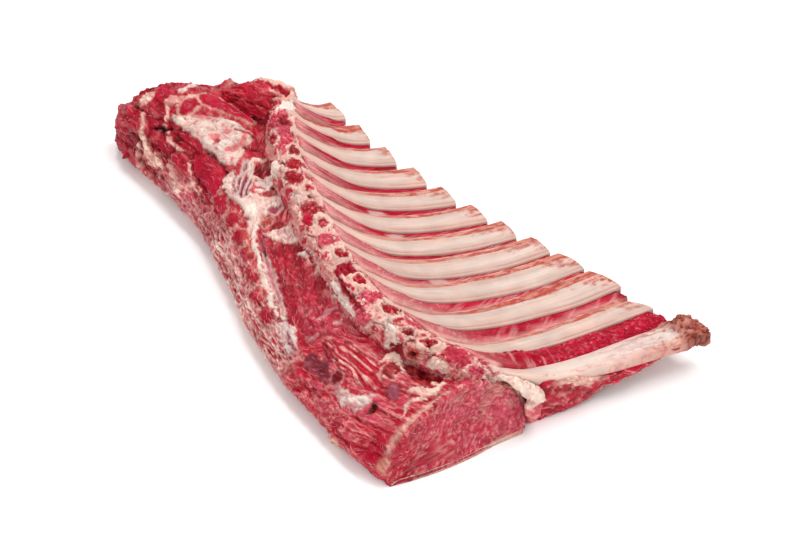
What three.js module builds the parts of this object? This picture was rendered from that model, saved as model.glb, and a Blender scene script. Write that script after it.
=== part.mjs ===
// A raw rack of lamb that lies on its back, with the hollow side of its ribs up.
// Millimetres, +Z up. The near end, where the loin is cut through, faces -Y, the shoulder end faces +Y,
// the ribs run out to +X and the rolled flank of the back meat is at -X.
// The origin is the middle of the bottom of the whole rack.
import * as THREE from "three";

// ---- Driving dimensions ------------------------------------------------------------------------
const RIBS = 12; // long ribs, numbered from the shoulder end
const GAP = 0.4; // clearance between pieces that grow against each other
const CLEARANCE = 1; // clearance under faceted curved surfaces

const NEAR_END = -142; // where the loin was cut through
const NEAR_LEAN = 0.2; // how far that cut leans back, per height
const NEAR_SAG = 3.5; // how far the foot of that cut spreads over the table
const NEAR_SAG_MIDDLE = -52;
const NEAR_SAG_SPREAD = 34;
const NEAR_SAG_REACH = 34; // length of loin that shares in it
const FAR_END = 155; // where the shoulder was cut through, a slanting cut
const FAR_SLANT = 0.32;
const FAR_SLANT_REACH = 90;
const FAR_SLANT_AXIS = -50;

const RIB_THICKNESS = 8;
const RIB_SPREAD = 2.6; // how much wider a rib is at its tip than at its root
const RIB_SHARE = 0.71; // most of the rib pitch that is bone
const LAST_RIB_SPREAD = 4; // further width of the last rib at its tip
const RIB_OVERHANG = 4; // how far a rib's end stands out beyond the meat between the ribs
const HEAD_REACH = 12.5; // how far a rib's sawn head reaches into the backbone
const HEAD_WIDTH = 9.5;
const HEAD_RISE = 3.4;
const HEAD_DEPTH = 10.4; // thickness of a rib's head under the crown line of the blades
const KNOB_RISE = 5; // the cartilage on the end of the last rib
const STRIP_RECESS = 2.2; // meat between two ribs lies this far under their crowns
const BLADE_REACH = 100; // distance from the backbone in which the blades come down to their lowest
const CHINE_WIDTH = 15;
const CHINE_RISE = 3.2; // the sawn backbone stands this far over the roots of the ribs
const NECK_DEPTH = 5; // thickness of the stub of neck under the same line
const NEAR_LIP = 3; // length of the cut loin that stands free of the last rib
const COVER_END = 5; // thickness of the outer meat at the tips of the ribs
const FLAP_WIDTH = 0.12; // meat that hangs out beyond the last rib, in rib pitches
const FAT_THICKNESS = 2.6;
const EYE_BULGE = 2.6; // how far the eye muscle's side stands out beyond its upper edge
const FLANK_ROUND = 11; // height at which the flank is widest
const FLANK_UNDERCUT = 12;

// A smooth curve through [place, value] stops, with a Hermite span between each two of them.
function through(...stops) {
  const slope = (i) => {
    const [a, b] = [stops[Math.max(i - 1, 0)], stops[Math.min(i + 1, stops.length - 1)]];
    return (b[1] - a[1]) / (b[0] - a[0]);
  };
  return (at) => {
    const next = stops.findIndex(([place]) => place > at);
    const i = next < 0 ? stops.length - 2 : Math.max(next - 1, 0);
    const [[a, va], [b, vb]] = [stops[i], stops[i + 1]];
    const span = b - a;
    const k = THREE.MathUtils.clamp((at - a) / span, 0, 1);
    const [k2, k3] = [k * k, k * k * k];
    return (
      (2 * k3 - 3 * k2 + 1) * va + (k3 - 2 * k2 + k) * span * slope(i) +
      (3 * k2 - 2 * k3) * vb + (k3 - k2) * span * slope(i + 1)
    );
  };
}

// The right edge of the backbone and the line of the rib tips, by rib number.
const rootX = through(
  [-1.6, -16], [0, -6], [1, -10.5], [2.5, -19.5], [4.5, -29.5], [6.5, -37], [8.5, -42], [10.5, -36],
  [11.5, -17], [12, -12.5], [12.5, -9],
);
const rootY = through(
  [-1.6, 139], [0, 117], [1, 105], [2.5, 86.5], [4.5, 54.5], [6.5, 16], [8.5, -23], [10.5, -82],
  [11.5, -121], [12, -130], [12.5, -138],
);
const tipX = through(
  [-1.6, 8], [0, 12], [1.5, 19], [3.5, 30], [5.5, 43], [7.5, 57.5], [9.5, 73.5], [11, 88], [12, 103],
  [12.5, 108],
);
const tipY = through(
  [-1.6, 140], [0, 128], [1.5, 99], [3.5, 56], [5.5, 11], [7.5, -31], [9.5, -71], [11, -104],
  [12, -136], [12.5, -148],
);
const rootHeight = through([-1.6, 40], [0, 44], [2, 46], [9.5, 45], [12.5, 40]);
// How far the backbone reaches below the rib roots.
const chineDepth = through([0, 11], [10.5, 11], [12, 8.5]);
const ribWidth = through([0, 12.8], [9, 13], [11, 16], [12, 17]);
// How far the edge of the cut loin lies under the line of the blades.
const cutEdge = through([-16, 1.5], [-6, 6], [0, 10], [4, 13], [8, 18]);
const bladeLow = through([0, 17], [9, 17], [11, 20], [12, 23.5], [12.5, 23.5]);
const tipRise = through([0, 5], [9, 5], [12, -1], [12.5, -1]);

// The flank of the back meat, its heights at shares of the way to the backbone, and its thicknesses.
const flankX = through(
  [-142, -83], [-120, -92.5], [-90, -96.5], [-55, -100], [-20, -99.5], [10, -95.5],
  [40, -92], [75, -88], [105, -91.5], [130, -97], [155, -101],
);
const HEIGHTS = [
  [0.04, through([-142, 12.5], [-100, 14], [60, 15], [120, 21], [155, 24])],
  [0.13, through([-142, 22], [-100, 21], [0, 21], [110, 30], [155, 33])],
  [0.33, through([-142, 32], [-100, 29], [0, 29], [110, 38], [155, 42])],
  [0.63, through([-142, 39.5], [-100, 34], [0, 33], [110, 39], [155, 42])],
  [0.85, through([-142, 42], [-100, 32], [0, 32.5], [110, 35], [155, 37])],
  [1, through([-142, 38.5], [-100, 30], [0, 31.5], [110, 33], [155, 35])],
];
const backThickness = through([-142, 3], [-108, 8], [60, 10], [155, 12]);
const flankWall = through([-142, 3], [-108, 10], [-70, 15], [155, 17]);
// The backbone's right edge again, by y, and how far the eye muscle runs on under the ribs.
const backboneX = through(
  [-138, -9], [-121, -17], [-82, -36], [-23, -42], [16, -37], [54.5, -29.5], [86.5, -19.5],
  [105, -10.5], [117, -6], [139, -16],
);
const eyeReach = through(
  [-142, 5.5], [-112, 22], [-60, 34], [50, 30], [75, 16], [95, 7], [110, 3], [155, 1],
);

// ---- Meshes ------------------------------------------------------------------------------------
const { lerp, clamp, smoothstep } = THREE.MathUtils;
const steps = (count, from = 0, to = 1) =>
  Array.from({ length: count + 1 }, (_, i) => lerp(from, to, i / count));

// A closed solid through rings of equally many points, with its two ends capped.
function loft(rings) {
  const count = rings[0].length;
  const positions = rings.flat().flatMap((p) => [p.x, p.y, p.z]);
  const faces = [];
  for (let ring = 0; ring + 1 < rings.length; ring++)
    for (let i = 0; i < count; i++) {
      const [a, b] = [ring * count + i, ring * count + ((i + 1) % count)];
      faces.push(a, b, b + count, a, b + count, a + count);
    }
  for (const ring of [0, rings.length - 1])
    for (const triangle of capOf(rings[ring])) {
      const corners = triangle.map((i) => i + ring * count);
      faces.push(...(ring ? corners : corners.reverse()));
    }
  const geometry = new THREE.BufferGeometry();
  geometry.setAttribute("position", new THREE.Float32BufferAttribute(positions, 3));
  geometry.setIndex(signedVolume(positions, faces) < 0 ? faces.reverse() : faces);
  geometry.computeVertexNormals();
  return geometry;
}

// Triangles across a ring, in the same turning sense as the ring.
function capOf(ring) {
  const along = new THREE.Vector3();
  ring.forEach((p, i) => along.add(new THREE.Vector3().crossVectors(p, ring[(i + 1) % ring.length])));
  along.normalize();
  const across = new THREE.Vector3(0, 0, 1).cross(along).normalize();
  const up = new THREE.Vector3().crossVectors(along, across);
  const flat = ring.map((p) => new THREE.Vector2(p.dot(across), p.dot(up)));
  return THREE.ShapeUtils.triangulateShape(flat, []);
}

function signedVolume(positions, faces) {
  const corner = (i) => new THREE.Vector3().fromArray(positions, 3 * faces[i]);
  let sum = 0;
  for (let i = 0; i < faces.length; i += 3)
    sum += corner(i).dot(corner(i + 1).cross(corner(i + 2)));
  return sum;
}

// ---- The fan of ribs ---------------------------------------------------------------------------
// Top height of the rib blades, at a distance r from the backbone on rib number t.
function bladeHeight(t, r) {
  const reach = Math.max(r, 0) / BLADE_REACH;
  const low = bladeLow(t);
  return low + (rootHeight(t) - low) * Math.max(0, 1 - reach) ** 4 + tipRise(t) * reach ** 3;
}

const ribLength = (t) => Math.hypot(tipX(t) - rootX(t), tipY(t) - rootY(t));

// A point of the fan: rib number t, distance r from the backbone, height dz over the blades.
function fanPoint(t, r, dz = 0) {
  const share = r / ribLength(t);
  return new THREE.Vector3(
    lerp(rootX(t), tipX(t), share), lerp(rootY(t), tipY(t), share), bladeHeight(t, r) + dz,
  );
}

// The rib number and the distance from the backbone that belong to a point of the table.
function fanPlace(x, y) {
  let [near, far] = [RIBS + 0.5, -1.6];
  for (let i = 0; i < 24; i++) {
    const t = (near + far) / 2;
    const side = (tipX(t) - rootX(t)) * (y - rootY(t)) - (tipY(t) - rootY(t)) * (x - rootX(t));
    if (side > 0) near = t;
    else far = t;
  }
  const t = (near + far) / 2;
  const [alongX, alongY] = [tipX(t) - rootX(t), tipY(t) - rootY(t)];
  return [t, ((x - rootX(t)) * alongX + (y - rootY(t)) * alongY) / ribLength(t)];
}

// The distance across the fan from one rib to the next.
const pitch = (t, r) => fanPoint(t - 0.5, r).distanceTo(fanPoint(t + 0.5, r));

const headShare = (t) => Math.min(HEAD_WIDTH / 2 / pitch(t, 0), 0.3);

// Half of a rib's width, in rib numbers: a slim head, then a blade that widens to its tip.
function halfShare(t, r) {
  const u = Math.max(r, 0) / ribLength(t);
  const width = ribWidth(t) + RIB_SPREAD * u + (t === RIBS ? LAST_RIB_SPREAD * u : 0);
  const blade = Math.min(width / 2 / pitch(t, r), RIB_SHARE / 2);
  return lerp(headShare(t), blade, smoothstep(r, 0, 9));
}

function rib(number) {
  const length = ribLength(number) + RIB_OVERHANG;
  const last = number === RIBS;
  const blade = steps(5, 0.42, 1).map((u) => u * (length - 3));
  const stations = [-HEAD_REACH, -11, -7, -3, 1, 6, 13, 22, 32, ...blade.filter((r) => r > 36), length];
  const rings = stations.map((r) => {
    const head = smoothstep(-r, -2, 4);
    const end = r === length ? 0.8 : r === -HEAD_REACH ? 0.6 : r === -11 ? 0.88 : 1;
    const knob = last ? Math.exp(-(((length - r - 5) / 8) ** 2)) : 0;
    const half = halfShare(number, r) * end;
    const crown = (0.8 + HEAD_RISE * head + KNOB_RISE * knob) * (end < 0.85 ? 0.5 : 1);
    const floor = lerp(-RIB_THICKNESS, -Math.min(HEAD_DEPTH, chineDepth(number)), head);
    const outline = [[-1, 0.34], [-0.62, 0.86], [0, 1], [0.62, 0.86], [1, 0.34], [0.8, 0], [-0.8, 0]];
    return outline.map(([across, up]) => fanPoint(number + across * half, r, lerp(floor, crown, up)));
  });
  return loft(rings);
}

// The meat between rib `number` and the next one.
function stripMeat(number) {
  const middle = number + 0.5;
  const side = (t, r) => halfShare(t, r) + (GAP + 0.6) / pitch(t, r);
  const rings = steps(9, 3.5, ribLength(middle) - 1).map((r) => {
    const low = number ? number + side(number, r) : 0.45;
    const high = number + 1 - side(number + 1, r);
    const outline = [[0, 0], [0, 0.9], [0.5, 1], [1, 0.9], [1, 0]];
    return outline.map(([across, up]) =>
      fanPoint(lerp(low, high, across), r, lerp(-RIB_THICKNESS, -STRIP_RECESS, up)),
    );
  });
  return loft(rings);
}

// The loose edge of meat beyond the last rib, which hangs down to the table beside the loin.
function flap() {
  const [from, to] = [24, ribLength(RIBS) - 14];
  const rings = steps(10, from, to).map((r) => {
    const u = (r - from) / (to - from);
    const low = RIBS + halfShare(RIBS, r) + (GAP + 0.3) / pitch(RIBS, r);
    const width = FLAP_WIDTH * (0.4 + 0.6 * Math.sin(Math.PI * Math.min(1, 0.3 + u)));
    const top = bladeHeight(RIBS, r) - 3.5;
    const floor = lerp(0.6, top - 7, smoothstep(u, 0.3, 0.75));
    const outline = [[-0.6, 0], [0, 0.8], [0, 1], [0.7, 0.96], [1, 0.75], [0.4, 0.2], [0, 0]];
    return outline.map(([across, up]) => {
      const p = fanPoint(low + across * width, r);
      return p.setZ(lerp(floor, top, up));
    });
  });
  return loft(rings);
}

// One sawn vertebra, between the heads of two ribs.
function vertebra(number) {
  const margin = (t) => Math.min(headShare(t) + (GAP + 0.5) / pitch(t, -CHINE_WIDTH), 0.43);
  const rings = steps(4, number + margin(number), number + 1 - margin(number + 1)).map((t, i) => {
    const fullness = [0.8, 0.97, 1, 0.97, 0.8][i];
    return chineOutline(t, CHINE_WIDTH * (0.9 + 0.1 * fullness), CHINE_RISE * fullness, chineDepth(t));
  });
  return loft(rings);
}

const chineOutline = (t, width, rise, depth) =>
  [
    [-width, -depth], [-width, -0.35 * depth], [-0.9 * width, 0.2 * rise], [-0.6 * width, rise],
    [-0.22 * width, 0.8 * rise], [-GAP, -0.6 * rise], [-GAP, -depth],
  ].map(([r, dz]) => fanPoint(t, r, dz));

// The stub of neck at the far end of the backbone.
function neckEnd() {
  const rings = steps(6, 0.55, -1.6).map((t, i) => {
    const width = CHINE_WIDTH + 10 * Math.sin((Math.PI * (i + 1)) / 8);
    return chineOutline(t, width * (i === 6 ? 0.6 : 1), (i === 6 ? 0.2 : 1) * CHINE_RISE, NECK_DEPTH);
  });
  return loft(rings);
}

// The fat that runs from the last vertebra down beside the cut loin.
function endFat() {
  const x = through([0, -18], [0.3, -10], [0.6, -3.6], [0.8, 0.2], [1, 1.2]);
  const z = through([0, 37.5], [0.3, 33], [0.6, 26.5], [0.8, 19], [1, 8]);
  const rings = steps(9).map((s) => {
    const width = 2.4 + 2.6 * Math.sin(Math.PI * Math.min(1, 0.15 + 0.6 * s));
    const [runX, runZ] = [x(s + 0.02) - x(s - 0.02), z(s + 0.02) - z(s - 0.02)];
    const size = Math.hypot(runX, runZ);
    const outline = [[0, -1], [0.6, -1], [1, -0.4], [1, 0.4], [0.6, 1], [0, 1]];
    return outline.map(([out, along]) => {
      const offset = (out * width) / size;
      return new THREE.Vector3(x(s) - runZ * offset, NEAR_END - 0.4 + along * 2.2, z(s) + runX * offset);
    });
  });
  return loft(rings);
}

// The outer meat that the blades lie on: thick beside the loin, thin at the tips of the ribs.
function ribCover() {
  const rings = steps(26, 1.1, RIBS + 0.08).map((t) => {
    const length = ribLength(t);
    const clear = steps(200, 0, length).find((r) => {
      const p = fanPoint(t, r);
      return p.x > backboneX(p.y) + eyeReach(p.y) + EYE_BULGE + 2.2 * CLEARANCE;
    });
    const reach = steps(8, Math.min(clear, length - 8), length - 2.5);
    const top = reach.map((r) => fanPoint(t, r, -RIB_THICKNESS - 1.5 * GAP));
    const underside = top.map((p, i) => {
      const thin = smoothstep(reach[i] / length, 0.45, 1);
      return p.clone().setZ(Math.max(0.4, lerp(0.4, p.z - COVER_END, thin)));
    });
    return [...top, ...underside.reverse()];
  });
  return loft(rings);
}

// ---- The meat of the back ----------------------------------------------------------------------
const chineLeft = (y) => backboneX(y) - CHINE_WIDTH - CLEARANCE;

// Height of the back meat at a share s of the way from the flank to the backbone.
const backHeight = (y, s) =>
  through([0, FLANK_ROUND], ...HEIGHTS.map(([share, height]) => [share, height(y)]))(s);

// The near cut leans back and its foot spreads over the table, and the far cut slants.
function shaped(x, y, z) {
  const near = clamp(1 - (y - NEAR_END) / NEAR_SAG_REACH, 0, 1);
  const across = Math.max(0, 1 - ((x - NEAR_SAG_MIDDLE) / NEAR_SAG_SPREAD) ** 2);
  const foot = Math.max(0, 1 - (z / 44) ** 2);
  const far = smoothstep(y, FAR_END - FAR_SLANT_REACH, FAR_END);
  const nearShift = (NEAR_LEAN * z - NEAR_SAG * across * foot) * near ** 2;
  return new THREE.Vector3(x, y + nearShift + FAR_SLANT * far * (FAR_SLANT_AXIS - x), z);
}

// Cross-sections along the back, drawn in a little where the far end rounds off.
function alongBack(sectionAt) {
  const nearStations = [NEAR_END, NEAR_END + 2.6, NEAR_END + 3.8, -130];
  const stations = [...nearStations, ...steps(16, -118, 124), 134, 143, 150, FAR_END];
  return loft(
    stations.map((y) => {
      const shrink = 1 - 0.12 * smoothstep(y, 138, FAR_END) ** 2;
      return sectionAt(y).map(([x, z]) => shaped(lerp(FAR_SLANT_AXIS, x, shrink), y, z * shrink ** 0.7));
    }),
  );
}

function backSection(y) {
  const [flank, right] = [flankX(y), chineLeft(y)];
  const wall = flank + flankWall(y);
  const undercut = Math.min(FLANK_UNDERCUT, flankWall(y) - 1.2);
  const skin = [[flank + undercut, 0], [flank + 0.3 * undercut, 3.2]];
  for (const s of [0, 0.04, 0.13, 0.22, 0.33, 0.48, 0.63, 0.75, 0.85, 1])
    skin.push([lerp(flank, right, s), backHeight(y, s)]);
  const inside = steps(5, right, wall).map((x) => [
    x, backHeight(y, (x - flank) / (right - flank)) - backThickness(y),
  ]);
  return [...skin, ...inside, [wall, 0]];
}

function eyeSection(y) {
  const [flank, right] = [flankX(y), chineLeft(y)];
  const wall = flank + flankWall(y) + GAP;
  const base = FAT_THICKNESS + GAP;
  const outline = [[wall, base]];
  for (const x of steps(5, wall, right))
    outline.push([x, backHeight(y, (x - flank) / (right - flank)) - backThickness(y) - GAP]);
  const edge = backboneX(y) + eyeReach(y);
  for (const k of [0.1, 0.25, 0.4, 0.55, 0.7, 0.85, 1]) {
    const x = lerp(right, edge, k);
    const [t, r] = fanPlace(x, y);
    const under = lerp(chineDepth(t), RIB_THICKNESS, smoothstep(r, 4, 16)) + CLEARANCE;
    outline.push([x, bladeHeight(t, r) - (y < NEAR_END + NEAR_LIP ? cutEdge(r) : under)]);
  }
  outline.push([edge + EYE_BULGE, 10], [edge + EYE_BULGE - 1, base]);
  return outline.map(([x, z]) => [x, Math.max(z, base)]);
}

function fatSection(y) {
  const xs = steps(6, flankX(y) + flankWall(y) + GAP, backboneX(y) + eyeReach(y) - 2);
  return [...xs.map((x) => [x, FAT_THICKNESS]), ...xs.reverse().map((x) => [x, 0])];
}

// ---- The rack ----------------------------------------------------------------------------------
const LEAN = { color: 0xa5202c, roughness: 0.42, metalness: 0 };
const STRIP = { color: 0xb23a48, roughness: 0.35, metalness: 0 };
const BONE = { color: 0xe6d2bc, roughness: 0.4, metalness: 0 };
const MARROW = { color: 0xc25a55, roughness: 0.55, metalness: 0 };
const FAT = { color: 0xeedcc8, roughness: 0.45, metalness: 0 };

const rack = new THREE.Group();

function add(name, geometry, look) {
  const mesh = new THREE.Mesh(geometry, new THREE.MeshStandardMaterial(look));
  mesh.name = name;
  rack.add(mesh);
}

const numbered = (word, number) => `${word}_${String(number).padStart(2, "0")}`;

add("eye_muscle", alongBack(eyeSection), LEAN);
add("back_muscle", alongBack(backSection), LEAN);
add("fat_cover", alongBack(fatSection), FAT);
add("rib_cover", ribCover(), LEAN);
add("edge_flap", flap(), LEAN);
add("end_fat", endFat(), FAT);
add("neck_end", neckEnd(), MARROW);
for (let number = 1; number <= RIBS; number++) {
  add(numbered("rib", number), rib(number), BONE);
  if (number === RIBS) break;
  add(numbered("vertebra", number), vertebra(number), MARROW);
  add(numbered("rib_meat", number), stripMeat(number), STRIP);
}

const extent = new THREE.Box3().setFromObject(rack);
const middle = extent.getCenter(new THREE.Vector3());
rack.position.set(-middle.x, -middle.y, -extent.min.z);

export default rack;
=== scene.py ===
"""The looks of a raw rack of lamb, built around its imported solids.

Places are worked out in the millimetres of the rack's drawing, the same ones that its solids use,
and become metres in the frame when a mesh is made.
"""

from functools import partial

import bpy
import numpy as np
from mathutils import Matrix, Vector


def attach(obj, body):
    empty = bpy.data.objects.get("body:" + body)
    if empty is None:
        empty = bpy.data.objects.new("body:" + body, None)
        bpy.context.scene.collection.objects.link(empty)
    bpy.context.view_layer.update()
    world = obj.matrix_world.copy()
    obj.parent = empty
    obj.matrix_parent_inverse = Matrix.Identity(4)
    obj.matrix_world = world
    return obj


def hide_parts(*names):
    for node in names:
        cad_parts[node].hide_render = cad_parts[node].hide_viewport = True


bl_info = {
    "name": "Raw rack of lamb",
    "version": (1, 0, 0),
    "blender": (4, 5, 0),
    "location": "3D View > Sidebar > Lamb",
    "description": "Back meat, backbone, ribs and fat of a raw rack of lamb",
    "category": "Add Mesh",
}

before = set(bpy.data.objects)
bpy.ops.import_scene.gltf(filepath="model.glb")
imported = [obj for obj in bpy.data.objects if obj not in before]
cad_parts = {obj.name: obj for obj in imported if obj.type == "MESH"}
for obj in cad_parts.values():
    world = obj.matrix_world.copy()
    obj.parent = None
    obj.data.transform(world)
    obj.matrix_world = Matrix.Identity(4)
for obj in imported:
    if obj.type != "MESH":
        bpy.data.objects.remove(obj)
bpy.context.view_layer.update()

MM = 0.001
DRAWING_MIDDLE = np.array([4.30, 11.94, 0.0])  # middle of the rack's bottom in the drawing, mm

RIBS = 12
NEAR_END = -142.0
NEAR_LEAN = 0.2
NEAR_SAG = 3.5
NEAR_SAG_MIDDLE = -52.0
NEAR_SAG_SPREAD = 34.0
NEAR_SAG_REACH = 34.0
FAR_END = 155.0
FAR_SLANT = 0.32
FAR_SLANT_REACH = 90.0
FAR_SLANT_AXIS = -50.0
RIB_THICKNESS = 8.0
RIB_SPREAD = 2.6
RIB_SHARE = 0.71
LAST_RIB_SPREAD = 4.0
RIB_OVERHANG = 4.0
STRIP_RECESS = 2.2
BLADE_REACH = 100.0
CHINE_WIDTH = 15.0
CHINE_RISE = 3.2
FLANK_ROUND = 11.0
FLANK_UNDERCUT = 12.0
EYE_BULGE = 2.6
TABLE = 6.0  # half the side of the table, metres


# ---- Curves of the drawing ----
def through(*stops):
    """A smooth curve through (place, value) stops, level beyond its ends."""
    places, values = np.array(stops, float).T
    index = np.arange(len(places))
    ahead, behind = np.minimum(index + 1, index[-1]), np.maximum(index - 1, 0)
    slopes = (values[ahead] - values[behind]) / (places[ahead] - places[behind])

    def curve(at):
        at = np.asarray(at, float)
        i = np.clip(np.searchsorted(places, at, side="right") - 1, 0, len(places) - 2)
        span = places[i + 1] - places[i]
        k = np.clip((at - places[i]) / span, 0, 1)
        k2, k3 = k * k, k * k * k
        return (
            (2 * k3 - 3 * k2 + 1) * values[i] + (k3 - 2 * k2 + k) * span * slopes[i]
            + (3 * k2 - 2 * k3) * values[i + 1] + (k3 - k2) * span * slopes[i + 1]
        )

    return curve


def line_through(*stops):
    """Smooth curves of x and y through (place, x, y) stops."""
    return [through(*((stop[0], stop[k]) for stop in stops)) for k in (1, 2)]


root_x, root_y = line_through(
    (-1.6, -16, 139), (0, -6, 117), (1, -10.5, 105), (2.5, -19.5, 86.5), (4.5, -29.5, 54.5), (6.5, -37, 16),
    (8.5, -42, -23), (10.5, -36, -82), (11.5, -17, -121), (12, -12.5, -130), (12.5, -9, -138),
)
tip_x, tip_y = line_through(
    (-1.6, 8, 140), (0, 12, 128), (1.5, 19, 99), (3.5, 30, 56), (5.5, 43, 11), (7.5, 57.5, -31),
    (9.5, 73.5, -71), (11, 88, -104), (12, 103, -136), (12.5, 108, -148),
)
root_height = through((-1.6, 40), (0, 44), (2, 46), (9.5, 45), (12.5, 40))
chine_depth = through((0, 11), (10.5, 11), (12, 8.5))
rib_width = through((0, 12.8), (9, 13), (11, 16), (12, 17))
cut_edge = through((-16, 1.5), (-6, 6), (0, 10), (4, 13), (8, 18))
blade_low = through((0, 17), (9, 17), (11, 20), (12, 23.5), (12.5, 23.5))
tip_rise = through((0, 5), (9, 5), (12, -1), (12.5, -1))
flank_x = through(
    (-142, -83), (-120, -92.5), (-90, -96.5), (-55, -100), (-20, -99.5), (10, -95.5),
    (40, -92), (75, -88), (105, -91.5), (130, -97), (155, -101),
)
# Heights of the back meat at shares of the way from flank to backbone.
HEIGHTS = [(0.04, through((-142, 12.5), (-100, 14), (60, 15), (120, 21), (155, 24)))] + [
    (share, through(*zip((-142, -100, 0, 110, 155), heights))) for share, heights in (
        (0.13, (22, 21, 21, 30, 33)), (0.33, (32, 29, 29, 38, 42)), (0.63, (39.5, 34, 33, 39, 42)),
        (0.85, (42, 32, 32.5, 35, 37)), (1, (38.5, 30, 31.5, 33, 35)),
    )
]
backbone_x = through(
    (-138, -9), (-121, -17), (-82, -36), (-23, -42), (16, -37), (54.5, -29.5), (86.5, -19.5),
    (105, -10.5), (117, -6), (139, -16),
)
eye_reach = through(
    (-142, 5.5), (-112, 22), (-60, 34), (50, 30), (75, 16), (95, 7), (110, 3), (155, 1),
)


def lerp(a, b, k):
    return a + (b - a) * k


def join(*values):
    """Points or vectors made of their parts."""
    return np.stack(np.broadcast_arrays(*values), axis=-1)


def ramp(x, low, high):
    k = np.clip((np.asarray(x, float) - low) / (high - low), 0, 1)
    return k * k * (3 - 2 * k)


def blade_height(t, r):
    """Top height of the rib blades, at a distance r from the backbone on rib number t."""
    reach = np.maximum(r, 0) / BLADE_REACH
    low = blade_low(t)
    fall = np.maximum(0, 1 - reach) ** 4
    return low + (root_height(t) - low) * fall + tip_rise(t) * reach**3


def rib_length(t):
    return np.hypot(tip_x(t) - root_x(t), tip_y(t) - root_y(t))


def fan_point(t, r, dz=0.0):
    """A point of the fan of ribs: rib number t, distance r from the backbone, height dz."""
    share = r / rib_length(t)
    x = lerp(root_x(t), tip_x(t), share)
    y = lerp(root_y(t), tip_y(t), share)
    return np.stack(np.broadcast_arrays(x, y, blade_height(t, r) + dz), axis=-1)


def fan_place(x, y):
    """The rib number and the distance from the backbone that belong to points of the table."""
    near, far = np.full(np.shape(x), RIBS + 0.5), np.full(np.shape(x), -1.6)
    for _ in range(24):
        t = (near + far) / 2
        side = (tip_x(t) - root_x(t)) * (y - root_y(t)) - (tip_y(t) - root_y(t)) * (x - root_x(t))
        near, far = np.where(side > 0, t, near), np.where(side > 0, far, t)
    t = (near + far) / 2
    along_x, along_y = tip_x(t) - root_x(t), tip_y(t) - root_y(t)
    return t, ((x - root_x(t)) * along_x + (y - root_y(t)) * along_y) / rib_length(t)


def pitch(t, r):
    """The distance across the fan from one rib to the next."""
    return np.linalg.norm(fan_point(t - 0.5, r) - fan_point(t + 0.5, r), axis=-1)


def half_width(number, r):
    """Half of a rib's width in mm: a slim root, then a blade that widens to its tip."""
    u = np.maximum(r, 0) / rib_length(number)
    last = LAST_RIB_SPREAD * u if number == RIBS else 0
    blade = np.minimum((rib_width(number) + RIB_SPREAD * u + last) / 2, RIB_SHARE / 2 * pitch(number, r))
    return lerp(np.minimum(4.75, 0.3 * pitch(number, r)), blade, ramp(r, 0, 9))


def shaped(x, y, z):
    """The near cut leans back and its foot spreads over the table, and the far cut slants."""
    near = np.clip(1 - (y - NEAR_END) / NEAR_SAG_REACH, 0, 1)
    across = np.maximum(0, 1 - ((x - NEAR_SAG_MIDDLE) / NEAR_SAG_SPREAD) ** 2)
    foot = np.maximum(0, 1 - (z / 44) ** 2)
    far = ramp(y, FAR_END - FAR_SLANT_REACH, FAR_END)
    shift = (NEAR_LEAN * z - NEAR_SAG * across * foot) * near**2
    return join(x, y + shift + FAR_SLANT * far * (FAR_SLANT_AXIS - x), z)


# ---- Noise ----
def lattice(cell, seed):
    """A repeatable whole number for each cell of a lattice."""
    h = cell[..., 0] * 374761393 + cell[..., 1] * 668265263 + cell[..., 2] * 1440662683
    h = (h + seed * 974634777) & 0xFFFFFFFF
    h = ((h ^ (h >> 13)) * 1274126177) & 0xFFFFFFFF
    return h ^ (h >> 16)


SLOPES = np.array(
    [[1, 1, 0], [-1, 1, 0], [1, -1, 0], [-1, -1, 0], [1, 0, 1], [-1, 0, 1], [1, 0, -1], [-1, 0, -1],
     [0, 1, 1], [0, -1, 1], [0, 1, -1], [0, -1, -1], [1, 1, 0], [-1, 1, 0], [0, -1, 1], [0, -1, -1]],
    float,
)


def noise(points, size, seed=0):
    """Smooth noise from about -1 to 1, whose lumps are size mm (one number, or one per axis)."""
    p = points / np.asarray(size, float) + 0.37
    cell = np.floor(p).astype(np.int64)
    f = p - cell
    ease = f * f * f * (f * (f * 6 - 15) + 10)
    total = np.zeros(len(p))
    for corner in np.ndindex(2, 2, 2):
        offset = np.array(corner)
        slope = SLOPES[lattice(cell + offset, seed) & 15]
        weight = np.prod(np.where(offset, ease, 1 - ease), axis=1)
        total += weight * np.einsum("ij,ij->i", slope, f - offset)
    return total * 1.4


def layered(points, size, seed=0, octaves=3, fade=0.5):
    """Noise with finer and fainter noise added to it."""
    total, strength, whole = 0.0, 1.0, 0.0
    for octave in range(octaves):
        total = total + strength * noise(points, np.asarray(size, float) / 2**octave, seed + 17 * octave)
        whole += strength
        strength *= fade
    return total / whole**0.5


def cells(points, size, seed=0):
    """Distance to the nearest of scattered seeds, in sizes, and that seed's own number 0 to 1."""
    p = points / np.asarray(size, float)
    base = np.floor(p).astype(np.int64)
    best = np.full(len(p), 9.0)
    second = np.full(len(p), 9.0)
    own = np.zeros(len(p))
    for corner in np.ndindex(3, 3, 3):
        cell = base + np.array(corner) - 1
        h = lattice(cell, seed)
        spot = join(h & 1023, (h >> 10) & 1023, (h >> 20) & 1023) / 1023.0
        distance = np.linalg.norm(cell + spot - p, axis=1)
        nearer = distance < best
        second = np.where(nearer, best, np.minimum(second, distance))
        own = np.where(nearer, (h & 4095) / 4095.0, own)
        best = np.minimum(best, distance)
    return best, second, own


# ---- Patches on a surface ----
def in_oval(plan, centre, radii, turn=0.0):
    """How far points lie inside an oval, in mm, and less than nothing outside, as for every patch."""
    c, s = np.cos(np.radians(turn)), np.sin(np.radians(turn))
    x, y = (plan - np.array(centre, float)).T
    u, v = (x * c + y * s) / radii[0], (y * c - x * s) / radii[1]
    return (1 - np.hypot(u, v)) * min(radii)


def inside(depth, soft=0.8):
    return ramp(depth, -soft, soft)


def edge(depth, width=1.0):
    return np.exp(-((depth / width) ** 2))


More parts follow.
